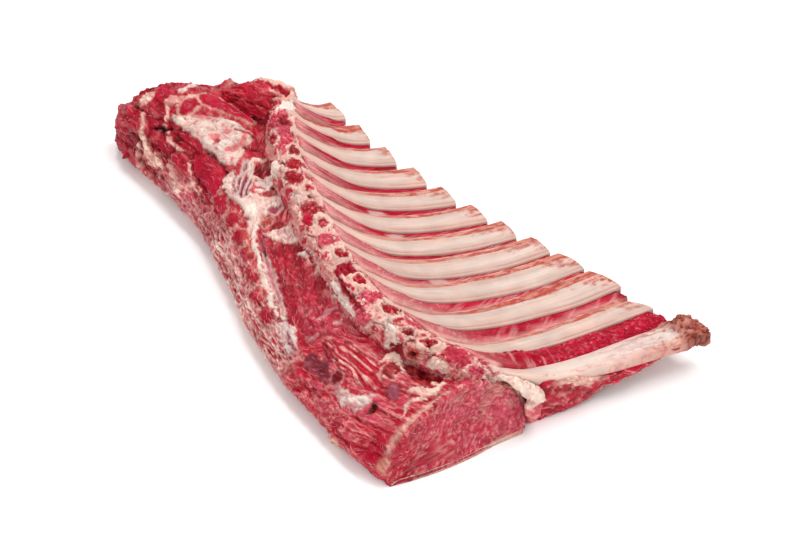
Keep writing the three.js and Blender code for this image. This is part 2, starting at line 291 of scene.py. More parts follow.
def srgb(red, green, blue):
    c = np.array([red, green, blue]) / 255.0
    return np.where(c <= 0.04045, c / 12.92, ((c + 0.055) / 1.055) ** 2.4)


def mix(tint):
    """A tint as an array. In words, it is one of the rack's colours, then shares of others mixed in."""
    if not isinstance(tint, str):
        return np.asarray(tint, float)
    colours = bpy.context.scene.lamb_colours
    first, *rest = tint.split()
    made = np.array(getattr(colours, first), float)
    for share, other in zip(rest[::2], rest[1::2]):
        made = lerp(made, np.array(getattr(colours, other), float), float(share))
    return made


def turned(points, angle):
    """Places along, across and above a direction, at an angle in radians from the x axis."""
    c, s = np.cos(angle), np.sin(angle)
    x, y, z = points.T
    return join(x * c + y * s, y * c - x * s, z)


class Surface:
    """Points of a piece in the drawing's mm, and the tint, relief and grain painted on them."""

    def __init__(self, points, tint):
        count = len(points)
        self.at = points
        self.laid = points  # the places that the fibres follow
        self.tint = np.tile(mix(tint), (count, 1))
        self.turn = np.full(count, np.radians(90.0))
        self.grain = np.ones(count)  # how strongly muscle fibres show
        self.wet = np.full(count, 0.5)
        # Relief, small folds with pale lines (web), large folds with dark gaps (crease), granules and loose threads.
        # grow() draws both kinds of fold with painted highlights on their high sides and painted shade on their low
        # sides and in their gaps.
        self.rise, self.web, self.crease, self.grit, self.thread = np.zeros((5, count))

    def paint(self, mask, tint=None, turn=None, **levels):
        mask = mask * np.ones(len(self.at))
        if tint is not None:
            self.tint += mask[:, None] * (mix(tint) - self.tint)
        if turn is not None:
            self.turn = np.where(mask > 0.5, np.radians(turn), self.turn)
        for name, level in levels.items():
            field = getattr(self, name)
            field += mask * (level - field)

    def mottle(self, pattern, mask, *sides):
        """Tints the high side of a pattern, then its low side. A side is two limits, a share and a tint."""
        for way, (low, high, share, tint) in zip((1, -1), sides):
            self.paint(mask * ramp(way * pattern, low, high) * share, tint)

    def lift(self, height):
        self.rise += height

    def shade(self, factor):
        """Darkens towards deep red rather than grey, or lightens."""
        self.tint *= np.clip(factor, 0.05, 2)[:, None] ** np.array([0.6, 1.3, 1.2])


# ---- Meshes ----
def closed_tube(rings, cap_steps):
    """Points and outward faces of a closed body through rings. Its ends are capped by smaller rings, and
    the last number says how many of them each end has."""
    def cap(ring):
        centre = ring.mean(axis=0)
        return [lerp(ring, centre, k / cap_steps) for k in range(1, cap_steps)], centre

    first, first_centre = cap(rings[0])
    final, final_centre = cap(rings[-1])
    stack = np.array([*first[::-1], *rings, *final])
    rows, columns = stack.shape[:2]
    points = np.vstack([stack.reshape(-1, 3), first_centre, final_centre])
    a = np.arange(columns)
    b = (a + 1) % columns
    row = np.arange(rows - 1)[:, None] * columns
    quads = join(row + a, row + b, row + b + columns, row + a + columns).reshape(-1, 4)
    last = (rows - 1) * columns
    fans = [join(b, a, len(points) - 2), join(last + a, last + b, len(points) - 1)]
    return points, outward(points, [quads, *fans]), len(first)


def point_normals(points, groups):
    normals = np.zeros_like(points)
    for faces in groups:
        a, b, c, d = (points[faces[:, k]] for k in (0, 1, 2, -1))
        across = np.cross(c - a, d - b)
        for column in faces.T:
            for axis in range(3):
                normals[:, axis] += np.bincount(column, across[:, axis], len(points))
    return normals / np.maximum(np.linalg.norm(normals, axis=1, keepdims=True), 1e-9)


def faces_inwards(points, groups):
    return sum(
        np.einsum("ij,ij->", points[f[:, 0]], np.cross(points[f[:, i]], points[f[:, i + 1]]))
        for f in groups for i in range(1, f.shape[1] - 1)
    ) < 0


def outward(points, groups):
    """The same faces, turned over if they face inwards."""
    return [faces[:, ::-1] for faces in groups] if faces_inwards(points, groups) else groups


def add_object(name, data):
    """An object at the origin that shows a mesh, or holds a lamp or a camera."""
    made = bpy.data.objects.new(name, data)
    bpy.context.scene.collection.objects.link(made)
    return made


def set_field(mesh, name, values):
    """Stores a number or a vector for each of a mesh's points."""
    values = np.asarray(values, np.float32)
    vector = values.ndim == 2
    field = mesh.attributes.new(name, "FLOAT_VECTOR" if vector else "FLOAT", "POINT")
    field.data.foreach_set("vector" if vector else "value", values.ravel())


def store_fields(mesh, surface):
    tint = mesh.attributes.new("tint", "FLOAT_COLOR", "POINT")
    colour = np.ones((len(mesh.vertices), 4))
    colour[:, :3] = np.clip(surface.tint, 0, 1)
    tint.data.foreach_set("color", colour.ravel())
    set_field(mesh, "fibres", turned(surface.laid, surface.turn))
    for name in ("grain", "wet", "grit"):
        set_field(mesh, name, getattr(surface, name))
    mesh.shade_smooth()


def finish_piece(piece, slot, *nodes):
    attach(piece, "root")
    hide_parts(*nodes)


def finish_body(name, points, groups, surface, finish, slot, *nodes, push=1.0, lowest=0.0):
    """Pushes a body's points out by their relief, and makes it a piece with one of the finishes."""
    rise = push * surface.rise
    points = points + point_normals(points, groups) * rise[:, None]
    points[:, 2] = np.maximum(points[:, 2], lowest)
    mesh = bpy.data.meshes.new(name)
    placed = (points - DRAWING_MIDDLE) * MM
    placed[:, 2] = np.maximum(placed[:, 2], 0)
    mesh.from_pydata(placed.tolist(), [], [face for faces in groups for face in faces.tolist()])
    store_fields(mesh, surface)
    mesh.materials.append(materials()[finish])
    piece = add_object(name, mesh)
    finish_piece(piece, slot, *nodes)
    return piece


# ---- Materials ----
class Bench:
    """Adds nodes to a tree."""

    def __init__(self, tree):
        self.tree = tree

    def add(self, kind, *first, **others):
        """A node. Values fill its first inputs in order, names with a capital fill the inputs called so,
        and other names are its settings. A socket or a node's first output is linked."""
        made = self.tree.nodes.new(kind)
        for key in [key for key in others if key[0].islower()]:
            setattr(made, key, others.pop(key))
        inputs = dict(enumerate(first)) | {key.replace("_", " "): value for key, value in others.items()}
        for key, value in inputs.items():
            if isinstance(value, bpy.types.Node):
                value = value.outputs[0]
            if isinstance(value, bpy.types.NodeSocket):
                self.tree.links.new(value, made.inputs[key])
            elif value is not None:
                made.inputs[key].default_value = value
        return made

    def math(self, operation, *values):
        return self.add("ShaderNodeMath", *values, operation=operation).outputs[0]

    def step(self, *values):
        """A smooth step of a value between two limits, to 0 and 1 or to the two values that follow."""
        return self.add("ShaderNodeMapRange", *values, interpolation_type="SMOOTHSTEP").outputs["Result"]

    def blend(self, share, a, b, way="MIX"):
        made = self.add("ShaderNodeMix", share, *[None] * 5, a, b, data_type="RGBA", blend_type=way,
                        clamp_result=True)
        return made.outputs[2]

    def field(self, name, kind="FLOAT"):
        return self.add("GeometryNodeInputNamedAttribute", name, data_type=kind).outputs["Attribute"]


def shape_bench(name, **inputs):
    """A bench for a tree that makes a shape, with its named inputs, and the sockets of those inputs."""
    tree = bpy.data.node_groups.new(name, "GeometryNodeTree")
    for way in ("INPUT", "OUTPUT"):
        tree.interface.new_socket("Geometry", in_out=way, socket_type="NodeSocketGeometry")
    for key, default in inputs.items():
        kind = "NodeSocketInt" if isinstance(default, int) else "NodeSocketFloat"
        made = tree.interface.new_socket(key.replace("_", " "), in_out="INPUT", socket_type=kind)
        made.default_value = default
    bench = Bench(tree)
    return bench, bench.add("NodeGroupInput").outputs


def finish_tree(bench, geometry, material):
    real = bench.add("GeometryNodeRealizeInstances", geometry)
    bench.add("NodeGroupOutput", bench.add("GeometryNodeSetMaterial", real, Material=material))
    return bench.tree


def tissue_material(
    name, pale, gloss=0.32, fibre_long=7.0, fibre_wide=0.55, relief=0.35, scatter=0.05, coat=0.08,
    uneven=0.14, painted_highlight_share=0.3,
):
    """Raw meat, bone or fat: painted tint, fine fibres along the grain and flecks, with painted shade in their valleys
    and painted highlights on their peaks, and a moist skin.
    """
    material = bpy.data.materials.new(name)
    material.use_nodes = True
    material.node_tree.nodes.clear()
    bench = Bench(material.node_tree)
    add, math, step, blend = bench.add, bench.math, bench.step, bench.blend

    def painted(name, output="Fac"):
        return add("ShaderNodeAttribute", attribute_name=name).outputs[output]

    def texture(places, scale, detail, roughness):
        made = add("ShaderNodeTexNoise", places, Scale=scale, Detail=detail, Roughness=roughness)
        return made.outputs["Fac"]

    tint, grain, grit, wet = painted("tint", "Color"), painted("grain"), painted("grit"), painted("wet")
    squeeze = (1 / fibre_long, 1 / fibre_wide, 1 / fibre_wide)
    fibres = texture(add("ShaderNodeMapping", painted("fibres", "Vector"), Scale=squeeze), 1.0, 3.0, 0.6)
    places = add("ShaderNodeTexCoord").outputs["Object"]
    specks = texture(places, 900.0, 2.0, 0.6)
    clouds = texture(places, 130.0, 3.0, 0.55)

    # Valleys of the fibres and pits get painted shade, and their peaks and flecks get painted highlights, in step with
    # the bumps that the same patterns make.
    deep = blend(1.0, tint, (0.7, 0.3, 0.38, 1.0), "MULTIPLY")
    light = blend(painted_highlight_share, tint, (*mix(pale), 1.0))
    colour = tint
    for pattern, strength, limits, other in (
        (fibres, grain, (0.5, 0.32), deep), (fibres, grain, (0.6, 0.76), light),
        (specks, grit, (0.48, 0.34), deep), (specks, grit, (0.58, 0.72), light),
    ):
        colour = blend(math("MULTIPLY", step(pattern, *limits), strength), colour, other)
    shade = step(clouds, 0.3, 0.7, 1 - uneven, 1 + 0.6 * uneven)
    grey = add("ShaderNodeCombineColor", shade, shade, shade)
    colour = blend(1.0, colour, grey, "MULTIPLY")
    rough = math("MULTIPLY_ADD", math("SUBTRACT", 1.0, wet), 0.3, gloss - 0.12)
    rough = math("ADD", rough, math("MULTIPLY", step(clouds, 0.3, 0.7), 0.12))
    height = math("ADD", math("MULTIPLY", fibres, grain), math("MULTIPLY", specks, 0.35))
    skin = add(
        "ShaderNodeBsdfPrincipled", Base_Color=colour, Roughness=rough, Specular_IOR_Level=0.2,
        Normal=add("ShaderNodeBump", Strength=relief, Distance=0.0009, Height=height),
        Subsurface_Weight=scatter, Subsurface_Radius=(1.0, 0.28, 0.2), Subsurface_Scale=0.003,
        Coat_Weight=coat, Coat_Roughness=0.16,
    )
    add("ShaderNodeOutputMaterial", skin)


def materials():
    """The rack's finishes, made once."""
    if "raw_meat" not in bpy.data.materials:
        pale, rosy = "fat", "fat 0.7 pink"
        tissue_material("raw_meat", rosy, gloss=0.3, relief=0.85, painted_highlight_share=0.18, coat=0.12)
        tissue_material("cut_meat", rosy, gloss=0.34, fibre_long=1.7, fibre_wide=0.75, relief=0.9,
                        painted_highlight_share=0.6, coat=0.14)
        tissue_material("strip_meat", rosy, gloss=0.28, fibre_long=16.0, fibre_wide=0.5, relief=0.2, coat=0.12)
        tissue_material("rib_skin", pale, gloss=0.34, fibre_long=30.0, fibre_wide=0.8, relief=0.12,
                        scatter=0.12, uneven=0.05)
        tissue_material("sawn_bone", pale, gloss=0.38, relief=0.5)
        tissue_material("soft_fat", pale, gloss=0.4, fibre_long=5.0, fibre_wide=1.2, relief=0.35, scatter=0.25)
    return bpy.data.materials


# ---- Sweeps ----
def sweep_tree(material):
    """A body swept along a path whose points say how wide and high it is there."""
    bench, given = shape_bench(
        "Sweep " + material.name, Profile_Points=32, Squareness=0.7, Relief=0.0002, Relief_Size=0.004, Seed=1.0,
    )
    add, math, field = bench.add, bench.math, bench.field
    where = add("GeometryNodeInputPosition")

    def placed(curve):
        """A curve that keeps the places of its own points."""
        made = add("GeometryNodeCaptureAttribute", curve)
        made.capture_items.new("VECTOR", "place")
        bench.tree.links.new(where.outputs[0], made.inputs[1])
        return made

    spine = placed(add("GeometryNodeMeshToCurve", given["Geometry"]))
    circle = add("GeometryNodeCurvePrimitiveCircle", Resolution=given["Profile Points"], Radius=1.0)
    outline = placed(circle)
    body = add("GeometryNodeCurveToMesh", Curve=spine, Profile_Curve=outline, Fill_Caps=True)
    across, y, _ = add("ShaderNodeSeparateXYZ", outline.outputs[1]).outputs
    up = math("MULTIPLY", math("POWER", math("ABSOLUTE", y), given["Squareness"]), math("SIGN", y))
    height = math("MULTIPLY", math("ADD", up, 1.0), 0.5)
    floor = field("floor")
    lift = math("ADD", floor, math("MULTIPLY", math("SUBTRACT", field("crown"), floor), height))
    sideways = add("ShaderNodeVectorMath", field("side", "FLOAT_VECTOR"), Scale=across, operation="SCALE")
    place = add("ShaderNodeVectorMath", spine.outputs[1], sideways)
    place = add("ShaderNodeVectorMath", place, add("ShaderNodeCombineXYZ", Z=lift))
    body = add("GeometryNodeSetPosition", body, Position=place)

    scale = math("DIVIDE", 1.0, given["Relief Size"])
    lumps = add("ShaderNodeTexNoise", noise_dimensions="4D", Detail=2.0, Scale=scale, W=given["Seed"])
    push = math("MULTIPLY", math("SUBTRACT", lumps.outputs["Fac"], 0.5), given["Relief"])
    shove = add("ShaderNodeVectorMath", add("GeometryNodeInputNormal"), Scale=push, operation="SCALE")
    body = add("GeometryNodeSetPosition", body, Offset=shove)
    for name, value in (("across", across), ("up", up)):
        body = add("GeometryNodeStoreNamedAttribute", body, Name=name, Value=value)
    return finish_tree(bench, body, material)


def apply_tree(piece, tree, **inputs):
    """The result of a tree on a piece, as a plain mesh in the same object."""
    modifier = piece.modifiers.new(tree.name, "NODES")
    modifier.node_group = tree
    for item in tree.interface.items_tree:
        key = item.name.replace(" ", "_")
        if item.item_type == "SOCKET" and item.in_out == "INPUT" and key in inputs:
            modifier[item.identifier] = inputs[key]
    bpy.context.view_layer.update()
    evaluated = piece.evaluated_get(bpy.context.evaluated_depsgraph_get())
    mesh = bpy.data.meshes.new_from_object(evaluated)
    piece.modifiers.remove(modifier)
    old, piece.data = piece.data, mesh
    bpy.data.meshes.remove(old)
    mesh.name = piece.name
    return mesh


def read_field(mesh, name):
    values = np.zeros(len(mesh.vertices), np.float32)
    mesh.attributes[name].data.foreach_get("value", values)
    return values.astype(float)


def mesh_points(mesh):
    co = np.zeros(len(mesh.vertices) * 3, np.float32)
    mesh.vertices.foreach_get("co", co)
    return co.astype(float).reshape(-1, 3) / MM + DRAWING_MIDDLE


def set_points(mesh, points):
    mesh.vertices.foreach_set("co", ((points - DRAWING_MIDDLE) * MM).astype(np.float32).ravel())
    mesh.update()


def mesh_faces(mesh):
    """Index arrays of a mesh's faces, one for each number of corners."""
    groups = {}
    for polygon in mesh.polygons:
        groups.setdefault(len(polygon.vertices), []).append(tuple(polygon.vertices))
    return [np.array(faces) for faces in groups.values()]


def swept_piece(name, tree, spine, paint, settings, **fields):
    """A body swept along a path of points in the drawing's mm, painted by paint(surface, run, across, up)."""
    mesh = bpy.data.meshes.new(name)
    edges = [(i, i + 1) for i in range(len(spine) - 1)]
    mesh.from_pydata(((spine - DRAWING_MIDDLE) * MM).tolist(), edges, [])
    for key, values in fields.items():
        set_field(mesh, key, values)
    piece = add_object(name, mesh)
    mesh = apply_tree(piece, tree, **settings)
    points, groups = mesh_points(mesh), mesh_faces(mesh)
    if faces_inwards(points, groups):
        mesh.flip_normals()
        groups = [faces[:, ::-1] for faces in groups]
    surface = Surface(points, "bone")
    paint(surface, *(read_field(mesh, key) for key in ("run", "across", "up")))
    for extra in ("run", "across", "up", "side", "crown", "floor"):
        if extra in mesh.attributes:
            mesh.attributes.remove(mesh.attributes[extra])
    set_points(mesh, points + point_normals(points, groups) * surface.rise[:, None])
    store_fields(mesh, surface)
    return piece


# ---- Loose threads ----
def thread_tree(material):
    """Short curved threads laid on a surface along its flow, as many as its thread field says."""
    bench, given = shape_bench(
        "Threads " + material.name, Density=120000.0, Length=0.006, Radius=0.0002, Stray=0.5, Seed=1,
    )
    add, math, field = bench.add, bench.math, bench.field
    density = math("MULTIPLY", given["Density"], field("thread"))
    places = add("GeometryNodeDistributePointsOnFaces", given["Geometry"], Density=density, Seed=given["Seed"])
    strand = add("GeometryNodeCurveQuadraticBezier", Resolution=7, Start=(-0.5, 0, 0), Middle=(0.05, 0.28, 0),
                 End=(0.5, 0, 0))
    upright = add("FunctionNodeAlignRotationToVector", Vector=places.outputs["Normal"], axis="Z")
    along = add("FunctionNodeAlignRotationToVector", Rotation=upright, Vector=field("flow", "FLOAT_VECTOR"),
                axis="X", pivot_axis="Z")
    stray = given["Stray"]
    turn = add("FunctionNodeRandomValue", None, None, math("MULTIPLY", stray, -1.0), stray,
               Seed=given["Seed"], data_type="FLOAT")
    swing = add("FunctionNodeEulerToRotation", add("ShaderNodeCombineXYZ", Z=turn.outputs[1]))
    strewn = add("FunctionNodeRotateRotation", along, swing, rotation_space="LOCAL")
    size = add("FunctionNodeRandomValue", None, None, 0.5, 1.5, data_type="FLOAT")
    laid = add("GeometryNodeInstanceOnPoints", places, Instance=strand, Rotation=strewn,
               Scale=math("MULTIPLY", size.outputs[1], given["Length"]))
    near = add("GeometryNodeProximity", given["Geometry"])
    threads = add("GeometryNodeSetPosition", add("GeometryNodeRealizeInstances", laid),
                  Position=near.outputs["Position"])
    way = add("GeometryNodeSplineParameter").outputs["Factor"]
    taper = math("ADD", math("MULTIPLY", math("SINE", math("MULTIPLY", way, 3.0)), 0.75), 0.25)
    threads = add("GeometryNodeSetCurveRadius", threads, Radius=taper)
    circle = add("GeometryNodeCurvePrimitiveCircle", Resolution=4, Radius=given["Radius"])
    tubes = add("GeometryNodeCurveToMesh", Curve=threads, Profile_Curve=circle, Fill_Caps=True,
                Scale=add("GeometryNodeInputRadius"))
    return finish_tree(bench, tubes, material)


def make_threads(name, under, surface, sides, slot, tints, **inputs):
    """Threads over a finished piece, thick where the surface's thread field is high."""
    flow = join(np.cos(surface.turn), np.sin(surface.turn), 0 * surface.turn)
    flow -= sides * np.einsum("ij,ij->i", flow, sides)[:, None]
    mesh = under.data.copy()
    set_field(mesh, "flow", flow)
    set_field(mesh, "thread", surface.thread)
    piece = add_object(name, mesh)
    tree = thread_tree(materials()["soft_fat"])
    mesh = apply_tree(piece, tree, **inputs)
    bpy.data.node_groups.remove(tree)
    for extra in [field.name for field in mesh.attributes if not (field.is_internal or field.is_required)]:
        if extra in mesh.attributes and extra != "material_index":
            mesh.attributes.remove(mesh.attributes[extra])
    points = mesh_points(mesh)
    points[:, 2] = np.maximum(points[:, 2], 0)
    set_points(mesh, points)
    strands = Surface(points, tints[0])
    strands.paint(ramp(noise(points, 7, 5), -0.4, 0.4), tints[1])
    strands.grain[:] = 0.2
    store_fields(mesh, strands)
    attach(piece, "root")


# ---- Settings ----
def colour_property(name, description, red, green, blue):
    return bpy.props.FloatVectorProperty(
        name=name, description=description, subtype="COLOR", size=3, min=0, max=1,
        default=tuple(float(v) for v in srgb(red, green, blue)),
    )


class LambColours(bpy.types.PropertyGroup):
    lean: colour_property("Lean", "Plain red meat", 184, 20, 46)
    crimson: colour_property("Crimson", "Wet smooth muscle", 188, 6, 48)
    deep: colour_property("Deep red", "Dark muscle and blood", 116, 3, 20)
    # Hollow is near-black. It is painted shade where it fills the deepest gaps, pits and folds, and a dark colour where
    # it is mixed into rust and other dark marks.
    hollow: colour_property("Hollow", "Deepest gaps", 78, 4, 10)
    pink: colour_property("Pink", "Pale meat at a cut", 214, 90, 112)
    fat: colour_property("Fat", "White fat", 230, 217, 204)
    cream: colour_property("Cream", "Fat with a pink cast", 230, 186, 168)
    fascia: colour_property("Fascia", "Thin skin over muscle", 206, 128, 132)
    lilac: colour_property("Lilac", "Bluish muscle seen through skin", 172, 96, 114)
    bone: colour_property("Bone", "Skin of the ribs", 197, 168, 155)
    marrow: colour_property("Marrow", "Red marrow", 166, 22, 34)
    orange: colour_property("Orange", "Orange-pink bits", 200, 98, 74)


def length_property(name, description, default, low, high):
    return bpy.props.FloatProperty(
        name=name, description=description, default=default, min=low, max=high, subtype="DISTANCE", unit="LENGTH",
    )


def angle_property(name, description, degrees):
    return bpy.props.FloatProperty(
        name=name, description=description, default=float(np.radians(degrees)), subtype="ANGLE", unit="ROTATION",
    )


class LambSizes(bpy.types.PropertyGroup):
    skin_step: length_property("Skin step", "Spacing of the points along the back meat", 0.00078, 0.0005, 0.004)
    relief: bpy.props.FloatProperty(
        name="Relief", description="Strength of the lumps, creases and granules", default=1.0, min=0, max=2,
    )
    rib_points: bpy.props.IntProperty(
        name="Rib outline", description="Points round a rib", default=64, min=12, max=96,
    )
    threads: bpy.props.FloatProperty(
        name="Threads", description="Loose threads on a square centimetre of back meat", default=9, min=0, max=60,
    )
    thread_length: length_property("Thread length", "Length of a loose thread", 0.0042, 0.001, 0.02)
    thread_radius: length_property("Thread radius", "Half the thickness of a loose thread", 0.00018, 0.00005, 0.001)


class LambStage(bpy.types.PropertyGroup):
    distance: length_property("Distance", "Camera to the middle of the rack", 1.65, 0.5, 5)
    azimuth: angle_property("Azimuth", "Direction that the camera stands in", -28)
    elevation: angle_property("Elevation", "Height of the camera as an angle", 43)
    lens: bpy.props.FloatProperty(name="Lens", description="Focal length in mm", default=135, min=20, max=300)
    lamp: bpy.props.FloatProperty(
        name="Lamp", description="Power of the soft light overhead", default=18.5, min=0, subtype="POWER",
        unit="POWER",
    )
    sky: bpy.props.FloatProperty(name="Sky", description="Light from all round", default=0.75, min=0, max=4)


# ---- Painting ----
class Brush:
    """Paints patches on a surface, whose edges wander a little. A patch is how far points lie inside it."""

    def __init__(self, surface, plan, seed, wander=1.0):
        self.surface = surface
        still = surface.at
        shove = np.stack([
            layered(still, 7, seed + 1) * 1.3 + noise(still, 2.0, seed + 2) * 0.5,
            layered(still, 7, seed + 3) * 1.3 + noise(still, 2.0, seed + 4) * 0.5,
        ], axis=-1)
        self.plan = plan + wander * shove
        self.ragged = layered(still, (3.4, 4.2, 3.4), seed + 5, 3, 0.7)
        self.holes = ramp(layered(still, (2.6, 3.8, 2.6), seed + 6, 3, 0.8), -0.1, 0.3)
        self.seed = seed

    def area(self, *corners):
        distance = np.full(len(self.plan), np.inf)
        inside = np.zeros(len(self.plan), bool)
        x, y = self.plan.T
        for a, b in zip(np.array(corners, float), np.array(corners[1:] + corners[:1], float)):
            distance = np.minimum(distance, self.away(a, b)[0])
            crosses = (a[1] > y) != (b[1] > y)
            inside ^= crosses & (x < a[0] + (y - a[1]) / (b[1] - a[1] or 1e-9) * (b - a)[0])
        return np.where(inside, distance, -distance)

    def stroke(self, widths, *path):
        """A stroke along a path of corners, with its half width at each of them."""
        best = np.full(len(self.plan), -np.inf)
        path = np.array(path, float)
        for a, b, wide, wider in zip(path, path[1:], widths, widths[1:]):
            distance, k = self.away(a, b)
            best = np.maximum(best, wide + (wider - wide) * k - distance)
        return best

    def oval(self, centre, radii, turn=0.0):
        return in_oval(self.plan, centre, radii, turn)

    def away(self, a, b):
        """The distance from a line between two corners, and how far along it that is."""
        k = np.clip(((self.plan - a) @ (b - a)) / ((b - a) @ (b - a)), 0, 1)
        return np.linalg.norm(self.plan - a - k[:, None] * (b - a), axis=1), k

    def lay(self, depth, tint, height=0.0, reach=2.5, soft=0.6, rim=None, rim_width=0.7, groove=0.0, share=1.0,
            torn=0.8, sheer=0.0, **levels):
        """A lump or hollow of one tint, with torn edges, holes where it is sheer, and an edge line or a groove with
        painted shade in it.
        """
        surface = self.surface
        depth = depth + torn * self.ragged
        surface.paint(inside(depth, soft) * share * (1 - sheer * self.holes), tint, **levels)
        surface.rise += height * ramp(depth, -0.6, reach) * (1 - 0.6 * sheer * self.holes)
        if groove:
            # The groove sinks, and painted shade darkens it.
            line = edge(depth + 0.3, 0.8)
            surface.rise -= groove * line
            surface.shade(1 - min(0.8, 0.5 * groove + 0.2) * line)
        if rim is not None:
            surface.paint(edge(depth, rim_width) * 0.85, rim)
            surface.rise += 0.35 * edge(depth, rim_width)

    def stripes(self, depth, turn, period, tints, height=0.5, seed=0, long=14.0):
        """Bands of two tints that run along a direction, inside a patch."""
        still = self.surface.at
        bend = [noise(still, 15, self.seed + seed + k) for k in (1, 2)]
        at = still + 2.6 * join(*bend, 0 * bend[0])
        c, s = np.cos(np.radians(turn)), np.sin(np.radians(turn))
        along, across = at[:, 0] * c + at[:, 1] * s, at[:, 1] * c - at[:, 0] * s
        place = join(along / long, across / period, at[:, 2] / period)
        wave = np.sin(2 * np.pi * (across / period + 0.45 * layered(place, 1.6, self.seed + seed)))
        mask = inside(depth, 0.8)
        band = ramp(wave, -0.35, 0.35)
        kept = ramp(noise(at, 7, self.seed + seed + 3), -0.75, 0.1)
        self.surface.paint(mask * band * kept, tints[0])
        self.surface.paint(mask * (1 - band), tints[1])
        self.surface.rise += mask * height * wave


def net(surface, mask, turn, size, thick, tint, seed, height=0.5):
    """Pale lines that part and join again, drawn out along a direction."""
    wave = layered(rotated(surface.at, turn), size, seed, 2)
    line = mask * edge(wave, thick * 1.5 / min(size))
    surface.paint(line, tint, wet=0.7)
    surface.rise += height * line


def rotated(points, degrees):
    return turned(points, np.radians(degrees))


def grow(surface, seed, places=None, tone=0.1):
    """Adds what grows all over: bundles, folded membranes, fibres, granules and uneven tone, with painted light on
    their high places and painted shade on their low ones.
    """
    places = surface.at if places is None else places
    swirl = join(*[layered(places, 10, seed + k) for k in (40, 41, 42)])
    at = places + 2.4 * swirl + 0.7 * join(*[noise(places, 3.2, seed + k) for k in (43, 44, 45)])
    ridge, fine, plate, plate_gap, sheet, sheet_gap = (np.zeros(len(at)) for _ in range(6))
    for turn in np.unique(np.round(surface.turn, 3)):
        chosen = np.abs(surface.turn - turn) < 6e-4
        laid = turned(at[chosen], turn)
        ridge[chosen] = layered(laid, (9, 1.9, 1.9), seed + 50, 3)
        fine[chosen] = noise(laid, (3.0, 0.95, 0.95), seed + 75)
        best, second, own = cells(laid, (26, 8.5, 8.5), seed + 60)
        plate[chosen], plate_gap[chosen] = own, second - best
        best, second, own = cells(laid, (12, 3.6, 3.6), seed + 63)
        sheet[chosen], sheet_gap[chosen] = own, second - best
    # Fibre ridges are raised, with painted light on their tops and painted shade in the valleys between them.
    surface.lift(surface.grain * (0.5 * ridge + 0.12 * fine))
    surface.shade(1 + surface.grain * (0.5 * ridge + 0.3 * fine))
    # Every patch lies higher or lower than the next. Higher patches get painted light and lower ones painted shade,
    # painted shadow lies along the low side of each step, and a pale painted highlight runs along its high side.
    for own, gap, strength, step, reach in (
        (plate, plate_gap, surface.crease, 2.6, 0.2), (sheet, sheet_gap, surface.web, 1.0, 0.24),
    ):
        border = 1 - ramp(gap, 0.0, reach)
        surface.lift(strength * (step * (own - 0.5) - 0.25 * step * border))
        surface.shade(lerp(1, 0.74 + 0.46 * own, strength))
        # Painted shadow along the border on the low side.
        low = border * ramp(own, 0.62, 0.3) * strength
        surface.shade(1 - 0.75 * low)
        held = ramp(noise(places, 9, seed + 61), -0.5, 0.15) * ramp(gap, 0.0, 0.05)
        # Painted highlight along the border on the high side, where the raised edge of the fold meets the light.
        line = border * ramp(own, 0.42, 0.68) * held * np.minimum(1, 1.3 * strength)
        surface.paint(line * 0.6, lerp(mix("cream"), mix("pink"), 0.4 + 0.2 * (step > 2)), wet=0.7)
        surface.lift(0.35 * line)
    if surface.grit.max() > 0.01:
        # Granules stand up. Their tone differs at random, painted shade darkens the gaps round them, and the palest
        # show pale flecks on top.
        best, second, own = cells(at, (1.7, 1.9, 1.7), seed + 80)
        grain = 1 - ramp(best, 0.1, 0.75)
        surface.lift(surface.grit * (0.75 * grain - 0.35))
        surface.shade(lerp(1, ((0.6 + 0.7 * own) * (0.72 + 0.4 * grain)), surface.grit))
        pale = surface.grit * ramp(own, 0.72, 0.86) * grain
        surface.paint(pale * 0.5, "cream 0.3 pink")
    broad = layered(places, 16, seed + 90)
    surface.tint *= (1 + tone * broad)[:, None]
    surface.wet += 0.25 * noise(places, 9, seed + 91)
    np.clip(surface.wet, 0, 1, out=surface.wet)
    surface.rise *= bpy.context.scene.lamb_sizes.relief


def resample(line, count):
    """A polyline as count points at even distances."""
    run = np.r_[0, np.cumsum(np.linalg.norm(np.diff(line, axis=0), axis=1))]
    at = np.linspace(0, run[-1], count)
    return join(*[np.interp(at, run, line[:, k]) for k in range(line.shape[1])])


# ---- Back meat ----
SKIN_COLUMNS = 168
HIDDEN_COLUMNS = (18, 6, 14)


def back_height(y, share):
    stops = [(0.0, FLANK_ROUND)] + [(at, float(height(y))) for at, height in HEIGHTS]
    return through(*stops)(share)


def skin_line(y):
    """The flank and the top of the back meat at a place along it: x and z from foot to backbone."""
    flank = flank_x(y)
    right = backbone_x(y) - CHINE_WIDTH + 4
    undercut = FLANK_UNDERCUT if y > -118 else lerp(1.8, FLANK_UNDERCUT, ramp(y, -142, -112))
    angle = np.linspace(-np.pi / 2, 0, 24)
    foot = np.stack([
        flank + undercut * (1 - np.cos(angle)), FLANK_ROUND * (1 + np.sin(angle)),
    ], axis=-1)
    share = np.linspace(0, 1, 200)[1:] ** 1.7
    top = join(lerp(flank, right, share), back_height(y, share))
    return np.vstack([foot, top])


def under_line(y, count):
    """The meat under the backbone and the rib roots."""
    edge_x = float(backbone_x(y) + eye_reach(y))
    right = backbone_x(y) - CHINE_WIDTH + 4
    x = np.linspace(right, edge_x, count + 1)[1:]
    t, r = fan_place(x, np.full(count, y))
    under = lerp(chine_depth(t), RIB_THICKNESS, ramp(r, 4, 16)) + 1
    lip = cut_edge(r)
    near = ramp(y, NEAR_END + 2.6, NEAR_END + 3.8)
    z = blade_height(t, r) - lerp(lip, under, near)
    return join(x, np.maximum(z, 3))


